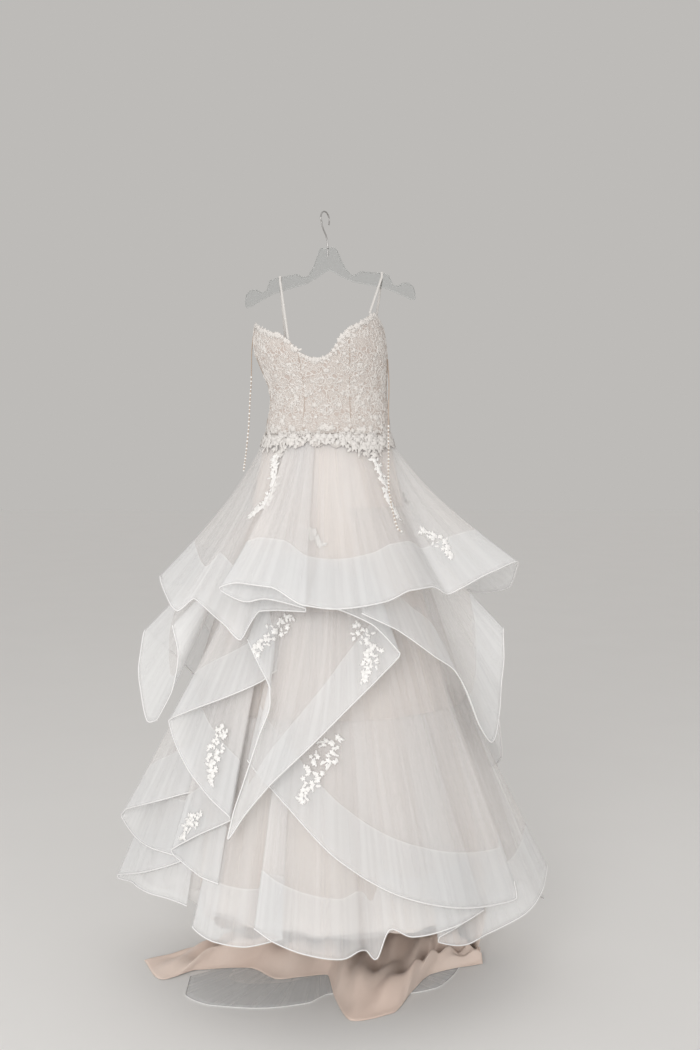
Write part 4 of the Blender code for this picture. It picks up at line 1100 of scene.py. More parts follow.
@dataclass
class Bodice:
    """The bodice: panels, corded lace, neckline lace, seams and straps.

    Attributes:
        winding: how far a scroll turns along its length, in radians.
        scrolls: how many pairs of scrolls are drawn, one on each side.
        scroll_reach: how far round from the front they start, in degrees.
        scroll_rise: how far above the waist they start.
        shortest: the shortest scroll, and longer is how much longer the longest is.
        leafed_under: a scroll shorter than this carries a leaf.
        flowered_over: a scroll longer than this carries a flower.
        under_arm: from and to which angle only the short scrolls lie.
        flatness: how thick a flower or leaf is for its size.
        edge_step: degrees from one flower of the neckline to the next.
        waist_scatter: how far the waist's flowers stray from the seam.
        strap_slack: the gap between a strap and the hanger.
        bead_apart: from one bead of a strap to the next.
    """

    wall: float = 0.003
    levels: int = 48
    step: float = 1.2
    winding: float = 5.6
    cord_radius: float = 0.0008
    piping_radius: float = 0.0009
    scrolls: int = 470
    scroll_reach: float = 176
    scroll_rise: float = 0.285
    shortest: float = 0.032
    longer: float = 0.030
    leafed_under: float = 0.040
    flowered_over: float = 0.054
    under_arm: tuple[float, float] = (80, 110)
    flower: float = 0.011
    leaf: float = 0.012
    flatness: float = 0.25
    edge_step: float = 2.8
    waist_scatter: float = 0.016
    waist_flatness: float = 0.14
    strap_wide: float = 0.006
    strap_thick: float = 0.0013
    strap_foot: float = 0.012
    strap_slack: float = 0.0008
    bead_radius: float = 0.0011
    bead_apart: float = 0.0032
    panels: tuple[Panel, ...] = table(Panel,
        ("bodice_front", -22), ("bodice_cup_right", 22), ("bodice_side_right", 78),
        ("bodice_back_right", 112), ("bodice_back_left", 180), ("bodice_side_left", 248),
        ("bodice_cup_left", 282),
    )
    neckline: tuple[Edge, ...] = table(Edge,
        (-180, -0.430), (-150, -0.420), (-120, -0.375), (-98, -0.305), (-80, -0.272),
        (-66, -0.284), (-48, -0.300), (-37, -0.306), (-29, -0.324), (-22, -0.349), (-14, -0.363),
        (-3, -0.365), (4, -0.351), (10, -0.331), (15, -0.311), (23, -0.292), (35, -0.279),
        (47, -0.264), (62, -0.251), (76, -0.276), (96, -0.330), (120, -0.385), (150, -0.422),
        (180, -0.430),
    )

    def top(self, angle: Any) -> np.ndarray:
        """Returns the neckline's height at this angle."""
        turn = (np.asarray(angle) + 180) % 360 - 180
        return edge_at(self.neckline, turn)

    def strip(self, start: float, end: float) -> np.ndarray:
        """Returns a panel's points, from its neckline to the waist."""
        angles = np.linspace(start, end, max(8, round((end - start) / self.step)))
        tops = self.top(angles)
        shares = np.linspace(0, 1, self.levels)
        heights = tops[:, None] + (WAIST - tops[:, None]) * shares
        return BODICE.point(angles[:, None] * np.ones(self.levels), heights, 0.0)

    def build_panels(self) -> None:
        """Makes each panel of the bodice."""
        starts = [panel.start for panel in self.panels] + [self.panels[0].start + 360]
        for panel, end in zip(self.panels, starts[1:]):
            grid = self.strip(panel.start, end)
            finish = SIDE_NET if "side" in panel.name else BODICE_LACE
            made = SHOP.wall(panel.name + "_cloth", grid, self.wall, finish)
            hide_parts(panel.name)
            flat, area = cloth_cut(grid)

    def spot(self, angle: float, height: float, lift: float) -> tuple[Vector, Vector, Vector]:
        """Returns a point this far off the bodice, its outward normal and the way round from it."""
        here, beside, above = (
            BODICE.spot(a, z, lift)
            for a, z in ((angle, height), (angle + 0.5, height), (angle, height + 0.004))
        )
        normal = unit(np.cross(beside - here, above - here))
        return Vector(here), Vector(normal), Vector(unit(beside - here))

    def sprig(self, angle: float, height: float, way: float, size: float) -> Spot:
        """Returns the spot of a lace shape on the bodice, turned this way from the level."""
        place, normal, level = self.spot(angle, height, self.wall / 2 + 0.0004)
        up = normal.cross(level)
        along = level * math.cos(way) + up * math.sin(way)
        return Spot(place, normal, along, (size, size, size * self.flatness))

    def scroll(self, angle: float, height: float, way: float, side: int, long: float) -> np.ndarray:
        """Draws a corded scroll on the bodice: a stem that winds up tighter towards its end.

        Args:
            angle: where it starts round the body.
            height: where it starts.
            way: the way its stem leaves, from the level.
            side: which way it winds, 1 or -1.
            long: its length.

        Returns:
            The cord's points.
        """
        shares = np.linspace(0, 1, 18)
        heading = way + side * self.winding * shares**1.7
        steps = long / len(shares) * np.stack([np.cos(heading), np.sin(heading)], -1)
        flat = np.cumsum(steps, axis=0)
        ahead = BODICE.point(np.array([angle, angle + 1]), np.full(2, height), 0.0)
        across = float(np.linalg.norm(ahead[1] - ahead[0]))
        angles = angle + flat[:, 0] / across
        heights = np.clip(height + flat[:, 1], WAIST + 0.001, self.top(angles) - 0.003)
        return BODICE.point(angles, heights, self.wall / 2 + 0.0005)

    def build_lace(self) -> None:
        """Makes the corded scrolls, flowers and leaves over the panels and along the neckline."""
        bloom, leaf = flower_shape("lace_bloom"), leaf_shape("lace_leaf")
        chance = np.random.default_rng(SEED)
        cords, blooms, leaves, seam = [], [], [], []
        for _ in range(self.scrolls):
            half = self.scroll_reach * chance.random()
            height = WAIST + 0.002 + self.scroll_rise * chance.random()
            way, wind = FULL_TURN * chance.random(), chance.choice((-1, 1))
            long = self.shortest + self.longer * chance.random()
            crowded = self.under_arm[0] < half < self.under_arm[1] and long > self.leafed_under
            for side in (-1, 1):
                angle = side * half
                if height > self.top(angle) - 0.006 or crowded:
                    continue
                turned = way if side > 0 else math.pi - way
                cords.append(self.scroll(angle, height, turned, side * wind, long))
                if long > self.flowered_over:
                    blooms.append(self.sprig(angle, height, turned, self.flower))
                elif long < self.leafed_under:
                    leaves.append(self.sprig(angle, height, turned + side * 2.2, self.leaf))
        for angle in np.arange(-178, 180, self.edge_step):
            top = float(self.top(angle))
            drop = 0.001 + 0.006 * chance.random() if abs(angle) < 125 else 0.005
            way = chance.random() * FULL_TURN
            blooms.append(self.sprig(angle, top - drop, way, 0.009 + 0.008 * chance.random()))
            way = FULL_TURN * chance.random()
            leaves.append(self.sprig(angle + 1.8, top - 0.006, way, self.leaf))
            for _ in range(2):
                above = self.waist_scatter * chance.normal()
                lift = 0.0040 if above < 0.002 else 0.0020
                place, normal, _ = self.spot(angle, WAIST + above, lift)
                wide = 0.010 + 0.008 * chance.random()
                way = Vector((chance.normal(), chance.normal(), chance.normal()))
                seam.append(Spot(place, normal, way, (wide, wide, wide * self.waist_flatness)))
        SHOP.cord("bodice_scrolls", self.cord_radius, LACE_CORD, *cords, sides=4)
        SHOP.field("bodice_blooms", blooms, bloom, LACE_MOTIF)
        SHOP.field("bodice_leaves", leaves, leaf, LACE_MOTIF)
        SHOP.field("waist_blooms", seam, bloom, LACE_MOTIF)
        for shape in (bloom, leaf):
            bpy.data.objects.remove(shape)

    def build_seams(self) -> None:
        """Makes the piped seams between the panels."""
        runs = []
        for panel in self.panels:
            heights = np.linspace(float(self.top(panel.start)) - 0.004, WAIST + 0.001, 24)
            runs.append(BODICE.point(np.full(24, panel.start), heights, self.wall / 2))
        SHOP.cord("bodice_seams", self.piping_radius, SEAM_PIPING, *runs)

    def build_straps(self, hanger: Hanger) -> None:
        """Makes the two straps over the hanger's arms."""
        wide, thick = self.strap_wide, self.strap_thick
        sides = (("strap_left", -0.121, -31, -139), ("strap_right", 0.130, 59, 134))
        for name, out, front, back in sides:
            x, _, z = hanger.place(out, hanger.top(out))
            rest = z + SEAM_GAP + thick / 2 + self.strap_slack
            side = hanger.thick / 2 + SEAM_GAP + thick / 2 + self.strap_slack
            over = [(x, y, rest + rise) for y, rise in (
                (-side, -0.012), (-side, -0.004), (-0.75 * side, 0.0), (0.0, 0.0003),
                (0.75 * side, 0.0), (side, -0.004), (side, -0.012),
            )]
            feet = []
            for angle in (front, back):
                slant = abs(math.tan(math.radians(angle))) * 0.95
                inset = (self.wall + thick) / 2 + wide / 2 * slant / math.hypot(1, slant)
                inset += 3 * SEAM_GAP
                feet.append([
                    BODICE.spot(angle, float(self.top(angle)) - below, -inset)
                    for below in (self.strap_foot, -0.004)
                ])
            path = np.array([*feet[0], *over, *feet[1][::-1]])
            path = np.vstack([
                np.linspace(a, b, 5)[:-1] for a, b in zip(path, path[1:])
            ] + [path[-1:]])
            across = np.array([wide / 2, 0.0, 0.0])
            grid = np.stack([path + across * s for s in np.linspace(-1, 1, 5)])
            made = SHOP.wall(name + "_band", grid, thick, STRAP)
            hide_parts(name)
            bead = SHOP.ball("strap_bead", self.bead_radius)
            SHOP.row(name + "_beads", path[4:-4] - [0, thick / 2, 0], bead, self.bead_apart, PEARL)
            bpy.data.objects.remove(bead)

    def build(self, hanger: Hanger) -> None:
        """Makes the bodice on its hanger."""
        self.build_straps(hanger)
        self.build_panels()
        self.build_seams()
        self.build_lace()


def flower_shape(name: str) -> Object:
    """Makes a small flower of five cupped petals a unit across, for others to copy."""
    turns = np.linspace(0, 2 * math.pi, 15, endpoint=False)
    reach = np.where(np.arange(15) % 3 == 0, 0.30, 0.50)
    rings = ((np.full(15, 0.15), 0.04), (reach, 0.08), (reach, -0.03))
    points = [
        np.stack([far * np.cos(turns), far * np.sin(turns), np.full(15, high)], -1)
        for far, high in rings
    ]
    around = [(k, (k + 1) % 15) for k in range(15)]
    faces = [(a, b, 45) for a, b in around]
    faces += [
        (n + a, n + 15 + a, n + 15 + b, n + b) for n in (0, 15) for a, b in around
    ]
    faces.append(tuple(range(44, 29, -1)))
    return SHOP.shape(name, np.vstack([*points, [[0.0, 0.0, 0.12]]]), faces)


def leaf_shape(name: str) -> Object:
    """Makes a small lobed leaf a unit long from its stalk, for others to copy."""
    shares = np.array([0.0, 0.15, 0.38, 0.5, 0.78, 0.92])
    widths = np.array([0.03, 0.20, 0.25, 0.19, 0.20, 0.09])
    outline = np.vstack([
        np.stack([shares, -widths], -1), [[1.0, 0.0]], np.stack([shares, widths], -1)[::-1],
    ])
    count = len(outline)
    rim = np.hstack([outline, np.zeros((count, 1))])
    middle = np.append(outline.mean(0), 0.07)
    around = [(k, (k + 1) % count) for k in range(count)]
    faces = [(a, b, 2 * count) for a, b in around]
    faces += [(a, count + a, count + b, b) for a, b in around]
    faces.append(tuple(range(2 * count - 1, count - 1, -1)))
    return SHOP.shape(name, np.vstack([rim, rim - [0, 0, 0.03], middle]), faces)


# Skirt -------------------------------------------------------------------------------------


@dataclass
class Flounce:
    """One tulle flounce: its hem's turns, where it is stitched and how it falls."""

    name: str
    nodes: tuple[str, ...]
    seam: float
    drape: float
    turns: tuple[Turn, ...]
    ring: bool = False
    levels: int = 40
    reach: float = 0.007
    wall: float = 0.0010
    gathers: float = 0.004
    hem_radius: float = 0.0016

    def values(self) -> np.ndarray:
        """Returns the hem's turns, closely spaced."""
        rows = np.asarray(self.turns, float)
        spots = SKIRT.point(rows[:, 2], rows[:, 3], rows[:, 4])
        at = [0.0]
        for k, apart in enumerate(np.linalg.norm(np.diff(spots, axis=0), axis=1)):
            steps = max(3, math.ceil(apart / self.reach))
            at += [k + (n + 1) / steps for n in range(steps)]
        return smooth_rows(rows, at)

    def gather(self, root: np.ndarray, share: float) -> np.ndarray:
        """Returns how far the soft folds from the stitched edge move the cloth."""
        turn = np.radians(root)
        fold = 0.5 * np.sin(19 * turn + 2.2 * share) + 0.3 * np.sin(31 * turn + 1.3)
        fold += 0.2 * np.sin(47 * turn)
        return self.gathers * fold * share * (1.25 - share)

    def grid(self) -> np.ndarray:
        """Returns the flounce's points [column, level], from its stitched edge to its hem."""
        ply, root, angle, height, lift = self.values().T
        stitched = (WAIST_STEP if self.ring else TOP_LIFT) + ply * PLY_STEP
        rows = []
        for share in np.linspace(0, 1, self.levels):
            rows.append(SKIRT.point(
                root + (angle - root) * share**FOLD_EASE,
                self.seam + (height - self.seam) * share,
                stitched + (lift - stitched) * share**self.drape + self.gather(root, share),
            ))
        return np.stack(rows, 1)

    def build(self) -> None:
        """Makes the flounce and the cord along its hem."""
        grid = self.grid()
        made = SHOP.wall(self.name, grid, self.wall, IVORY_NET, self.ring)
        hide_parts(*self.nodes)
        hem = SHOP.cord(self.name + "_hem", self.hem_radius, HEM_CORD, grid[:, -1])
        flat, area = cloth_cut(grid)
        LOG.info("%s: cut %.2f by %.2f m, %.2f square metres", self.name, *flat, area)


FLOUNCES = (
    Flounce("bottom_tier", ("bottom_tier_front",), -1.20, 1.25, table(Turn,
        (0, -31, -31, -1.640, 0.010), (0, -36, -36.5, -1.658, 0.026),
        (1, -36, -36.5, -1.667, 0.034), (1, -29, -29, -1.684, 0.038),
        (1, -20, -20, -1.688, 0.036), (1, -12, -11, -1.668, 0.024), (2, -12, -11, -1.658, 0.032),
        (2, -17, -17.5, -1.645, 0.046), (3, -17, -17.5, -1.638, 0.056),
        (3, -12, -12, -1.660, 0.063), (2.6, -6, -6, -1.674, 0.066), (2, 4, 4, -1.689, 0.062),
        (1.5, 8, 8, -1.681, 0.050), (1, 10, 10, -1.688, 0.036), (1, 12.5, 12.5, -1.709, 0.034),
        (1.5, 16, 16, -1.644, 0.044), (2, 21, 21, -1.660, 0.052), (2, 31, 32, -1.649, 0.056),
        (2, 41, 43, -1.636, 0.054), (1, 41, 43, -1.643, 0.044), (1, 36, 36, -1.658, 0.036),
        (1, 30, 29, -1.678, 0.029), (0, 30, 29, -1.692, 0.021), (0, 37, 37, -1.712, 0.024),
        (0, 46, 46, -1.701, 0.034), (0, 57, 57, -1.677, 0.056), (0, 71, 71, -1.648, 0.074),
        (0, 84, 86, -1.640, 0.070), (0, 96, 98, -1.690, 0.050),
    )),
    Flounce("bottom_tier_behind", ("bottom_tier_back",), -1.20, 1.2, table(Turn,
        (0, 98, 88, -1.735, 0.034), (0, 105, 98, -1.750, 0.040), (0, 112, 108, -1.730, 0.034),
        (0, 124, 122, -1.780, 0.022), (0, 140, 140, -1.800, 0.014), (0, 158, 158, -1.810, 0.020),
        (0, 178, 178, -1.812, 0.014), (0, 198, 198, -1.810, 0.020), (0, 218, 218, -1.800, 0.014),
        (0, 236, 236, -1.780, 0.024), (0, 246, 248, -1.740, 0.032), (0, 254, 258, -1.690, 0.038),
    )),
    Flounce("side_flounce", ("side_cascade",), -1.14, 1.2, table(Turn,
        (3, -47, -45, -1.374, 0.022), (3, -53, -52, -1.392, 0.036), (3, -61, -61, -1.420, 0.062),
        (3, -76, -78, -1.472, 0.092), (3, -80, -83, -1.500, 0.092), (2, -80, -83, -1.512, 0.084),
        (2, -72, -72, -1.527, 0.062), (2, -57, -56, -1.527, 0.040), (2, -50, -47, -1.528, 0.033),
        (1, -50, -47, -1.540, 0.026), (1, -62, -61, -1.590, 0.038), (1, -77, -80, -1.645, 0.068),
        (0, -77, -80, -1.656, 0.060), (0, -71, -70, -1.640, 0.042), (0, -55, -53, -1.636, 0.020),
        (0, -46, -43, -1.641, 0.012),
    )),
    Flounce("right_flounce", ("right_cascade",), -0.96, 1.2, table(Turn,
        (0, -25, -27, -1.290, 0.018), (0, -18, -18, -1.338, 0.028), (0, -8, -8, -1.401, 0.036),
        (0, 4, 4, -1.488, 0.045), (0, 12, 12, -1.536, 0.052), (0, 20, 20, -1.572, 0.058),
        (0, 32, 32, -1.605, 0.062), (0, 44, 45, -1.628, 0.064), (0, 54, 54.5, -1.633, 0.061),
        (0, 56, 57, -1.600, 0.050),
    )),
    Flounce("left_flounce", ("left_cascade",), -0.90, 1.2, table(Turn,
        (0.8, -22, -20, -1.088, 0.018), (2.2, -27, -24, -1.110, 0.036),
        (3, -35, -36, -1.149, 0.066), (3, -48, -50, -1.190, 0.076), (3, -56, -60, -1.223, 0.078),
        (2, -56, -60, -1.240, 0.070), (2, -46, -47, -1.319, 0.060),
        (1.6, -35, -35, -1.374, 0.054), (1.2, -29, -28, -1.405, 0.051),
        (0.5, -29, -28, -1.415, 0.044), (0.9, -39, -39, -1.462, 0.046),
        (1, -47, -48.5, -1.510, 0.050), (0, -47, -48.5, -1.522, 0.043),
        (0, -37, -36, -1.553, 0.036), (0, -31, -30, -1.560, 0.033),
    )),
    Flounce("front_flounce", ("front_cascade",), -0.84, 1.2, table(Turn,
        (0, -31, -31, -1.018, 0.060), (0, -27, -25, -1.064, 0.062), (0, -24, -19, -1.119, 0.061),
        (0, -22, -18.5, -1.163, 0.060), (0, -20.5, -21, -1.222, 0.060),
        (0, -19, -24, -1.321, 0.062), (0, -17.5, -26, -1.392, 0.064),
        (0, -16, -26.5, -1.447, 0.066), (0, -13, -22, -1.388, 0.066), (0, -7, -16, -1.326, 0.066),
        (0, 0, -6, -1.250, 0.068), (0, 9, 7, -1.160, 0.071), (0, 19, 19, -1.090, 0.074),
        (0, 26, 26.5, -1.050, 0.078), (1, 26, 26.5, -1.042, 0.084), (1, 17, 17, -0.975, 0.086),
        (1, 6, 5, -0.943, 0.074), (1, -5, -8, -0.931, 0.056),
    )),
    Flounce("tier_two", ("tier_two_right", "tier_two_back", "tier_two_left"), -0.72, 1.35, table(
        Turn,
        (0, 16, 13, -0.948, 0.102), (0, 26, 25, -0.986, 0.102), (0, 38, 40, -1.057, 0.092),
        (0, 46, 49, -1.095, 0.084), (0, 52, 54, -1.150, 0.078), (0, 58, 57, -1.230, 0.072),
        (0, 64, 63, -1.280, 0.070), (0, 70, 75, -1.245, 0.075), (0, 76, 85, -1.176, 0.098),
        (0, 82, 86, -1.100, 0.130), (0, 88, 86, -1.030, 0.150), (0, 94, 94, -1.050, 0.150),
        (0, 104, 106, -1.200, 0.110), (0, 115, 112, -1.400, 0.085), (0, 124, 122, -1.435, 0.070),
        (0, 140, 142, -1.330, 0.045), (0, 160, 160, -1.250, 0.060), (0, 180, 180, -1.290, 0.040),
        (0, 200, 200, -1.240, 0.060), (0, 220, 220, -1.290, 0.045), (0, 240, 240, -1.180, 0.075),
        (0, 258, 260, -1.080, 0.130), (0, 270, 277, -1.030, 0.165), (0, 276, 281, -1.110, 0.155),
        (0, 282, 282, -1.180, 0.130), (0, 287, 286, -1.245, 0.100), (0, 291, 291, -1.235, 0.085),
        (0, 295, 298, -1.160, 0.085), (0, 299, 300, -1.070, 0.100), (0, 303, 296, -1.000, 0.125),
    )),
    Flounce("tier_one", ("tier_one_front", "tier_one_back"), WAIST_SEAM, 1.45, table(Turn,
        (0, -84, -83, -0.895, 0.170), (0, -75, -73, -0.930, 0.150), (0, -62, -60, -0.962, 0.136),
        (0, -60, -59, -0.935, 0.106), (0, -53, -51, -0.950, 0.100), (0, -41, -37, -0.980, 0.107),
        (0, -34, -30, -1.012, 0.098), (0, -33, -29, -0.980, 0.080), (0, -30, -27, -0.952, 0.070),
        (0, -22, -19, -0.947, 0.070), (0, -10, -7, -0.946, 0.086), (1, -10, -7, -0.938, 0.094),
        (1, -21, -21, -0.918, 0.106), (1, -29, -30, -0.926, 0.110), (1, -35, -40, -0.906, 0.118),
        (2, -35, -40, -0.897, 0.128), (2, -29, -32, -0.883, 0.134), (2, -18, -18, -0.887, 0.140),
        (1.6, -8, -7, -0.925, 0.134), (1, 4, 5, -0.934, 0.126), (0.5, 20, 21, -0.922, 0.122),
        (0, 30, 31, -0.900, 0.125), (0, 41, 42, -0.897, 0.120), (0, 51, 52, -0.920, 0.105),
        (0, 57, 57, -0.906, 0.130), (0, 67, 66, -0.876, 0.180), (0, 78, 77, -0.853, 0.238),
        (0, 84, 84, -0.885, 0.225), (0, 92, 92, -0.930, 0.200), (0, 107, 108, -0.955, 0.150),
        (0, 125, 126, -0.940, 0.100), (0, 145, 144, -0.960, 0.110), (0, 165, 166, -0.945, 0.085),
        (0, 185, 184, -0.970, 0.105), (0, 205, 206, -0.950, 0.085), (0, 225, 226, -0.965, 0.110),
        (0, 245, 244, -0.940, 0.120), (0, 262, 262, -0.925, 0.155), (0, 276, 277, -0.895, 0.170),
    ), ring=True),
)


@dataclass
class Lining:
    """A layer under the flounces, all round the body."""

    name: str
    nodes: tuple[str, ...]
    form: BodyForm
    hem: tuple[Edge, ...]
    finish: Finish
    wall: float
    levels: int = 44
    step: float = 1.3
    folds: float = 0.003

    def grid(self) -> np.ndarray:
        """Returns the lining's points, from the waist to its hem."""
        angles = np.arange(-90, 270 + self.step / 2, self.step)
        lows = edge_at(self.hem, angles)
        shares = np.linspace(0, 1, self.levels)
        heights = WAIST_SEAM + (lows[:, None] - WAIST_SEAM) * shares
        turn = np.radians(angles)[:, None]
        fold = np.sin(23 * turn + 3 * shares) + 0.6 * np.sin(41 * turn + 1 - 4 * shares)
        lift = self.folds * fold * shares
        return self.form.point(angles[:, None] * np.ones(self.levels), heights, lift)

    def build(self) -> None:
        """Makes the lining."""
        grid = self.grid()
        made = SHOP.wall(self.name, grid, self.wall, self.finish, ring=True)
        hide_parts(*self.nodes)
        flat, area = cloth_cut(grid)
        LOG.info("%s: cut %.2f by %.2f m, %.2f square metres", self.name, *flat, area)


UNDERSKIRT_HEM = table(Edge,
    (-100, -1.600), (-70, -1.600), (-40, -1.640), (-10, -1.665), (10, -1.680), (30, -1.660),
    (60, -1.650), (80, -1.640), (140, -1.700), (180, -1.720), (220, -1.700), (260, -1.600),
    (270, -1.600),
)
SATIN_HEM = table(Edge,
    (-90, -1.700), (-50, -1.690), (0, -1.685), (40, -1.700), (90, -1.720), (98, -1.894),
    (228, -1.894), (240, -1.870), (262, -1.800), (270, -1.700),
)


@dataclass
class Train:
    """The satin and the net that run on over the floor.

    Attributes:
        start: the angle at which the train leaves the lining, and end is where it stops.
        tuck_from: the angle from which the train is folded forward.
        foot: the height at which it leaves the lining.
        middle: the point that the net is drawn out from.
        flat_share: the share of the satin that stays flat below the lining.
        ripples: the satin's small folds.
    """

    start: float = 98
    end: float = 222
    tuck_from: float = 150
    foot: float = -1.894
    satin_edge: tuple[Spread, ...] = table(Spread,
        (0.402, -0.030, 0.000), (0.335, -0.050, 0.012), (0.262, -0.085, 0.026),
        (0.212, -0.165, 0.035), (0.165, -0.258, 0.030), (0.062, -0.290, 0.028),
        (0.024, -0.190, 0.035), (0.005, -0.085, 0.040), (-0.060, -0.095, 0.036),
        (-0.122, -0.105, 0.036), (-0.195, -0.050, 0.040), (-0.325, -0.060, 0.040),
        (-0.410, -0.106, 0.012), (-0.470, -0.012, 0.000),
    )
    net_edge: tuple[Spread, ...] = table(Spread,
        (0.350, 0.075, 0.0), (0.362, 0.020, 0.0), (0.322, -0.086, 0.0), (0.272, -0.148, 0.0),
        (0.200, -0.172, 0.0), (0.100, -0.165, 0.0), (0.010, -0.175, 0.0), (-0.040, -0.216, 0.0),
        (-0.150, -0.238, 0.0), (-0.275, -0.224, 0.0), (-0.338, -0.178, 0.0),
        (-0.340, -0.090, 0.0),
    )
    middle: tuple[float, float] = (-0.02, 0.10)
    flat_share: float = 0.13
    satin_wall: float = 0.0016
    net_wall: float = 0.0012
    hem_radius: float = 0.0013
    ripples: tuple[Ripple, ...] = (Ripple(0.009, 0.31, 9, 0), Ripple(0.007, 0.13, -17, 2))

    def ripple(self, column: int, shares: np.ndarray) -> np.ndarray:
        """Returns the height of the small folds down one column of the satin."""
        return sum(
            high * (1 + np.sin(across * column + down * shares + sway * math.sin(0.07 * column)))
            for high, across, down, sway in self.ripples
        )

    def edge(self, rows: tuple[Spread, ...], columns: int) -> np.ndarray:
        """Returns points along an edge on the floor, evenly spaced."""
        fine = np.linspace(0, len(rows) - 1, 40 * len(rows))
        run = run_along(smooth_rows(rows, fine))
        return smooth_rows(rows, np.interp(np.linspace(0, run[-1], columns), run, fine))

    def build(self) -> None:
        """Makes the satin's train and the net under it."""
        columns, levels, wall = 260, 60, self.satin_wall
        shares = np.linspace(0, 1, levels)
        bed, low = self.foot - wall / 2 - 1.5 * SEAM_GAP, FLOOR + 0.0012 + SEAM_GAP + wall / 2
        grid = []
        for k, (x, y, rise) in enumerate(self.edge(self.satin_edge, columns)):
            angle = self.start + (self.end - self.start) * k / (columns - 1)
            foot = SATIN.spot(angle, self.foot, 0.0)
            tuck = min(max((angle - self.tuck_from) / (self.end - self.tuck_from), 0.0), 1.0)
            clear = np.clip((shares - self.flat_share) / 0.06, 0, 1)
            hump = rise * np.sin(2 * math.pi * shares)**2 * clear
            small = self.ripple(k, shares) * np.sin(math.pi * shares)
            grid.append(np.stack([
                foot[0] + (x - foot[0]) * shares**(1 + tuck / 2),
                foot[1] + (y - foot[1]) * (shares + 0.2 * tuck * shares * (1 - shares)),
                bed + (low - bed) * shares + hump + small,
            ], -1))
        made = SHOP.wall("satin_train_cloth", np.stack(grid), wall, TRAIN_SATIN)
        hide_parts("satin_train")
        flat, area = cloth_cut(np.stack(grid))
        columns, levels = 160, 12
        shares = np.linspace(0.45, 1, levels)[:, None]
        grid = []
        for x, y, _ in self.edge(self.net_edge, columns):
            flat = np.array(self.middle) + (np.array([x, y]) - self.middle) * shares
            grid.append(np.hstack([flat, np.full((levels, 1), FLOOR + 0.0006)]))
        grid = np.stack(grid)
        made = SHOP.wall("train_net", grid, self.net_wall, IVORY_NET)
        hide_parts("net_train")
        hem = SHOP.cord("train_net_hem", self.hem_radius, HEM_CORD, grid[:, -1] + [0, 0, 0.001])
        flat, area = cloth_cut(grid)


# Lace on the skirt -------------------------------------------------------------------------


class Sprig(NamedTuple):
    """A lace sprig: the cloth it lies on, its spine by angle and height, its width, its node."""

    name: str
    cloth: str
    spine: tuple[tuple[float, float], ...]
    wide: float
    node: str = ""


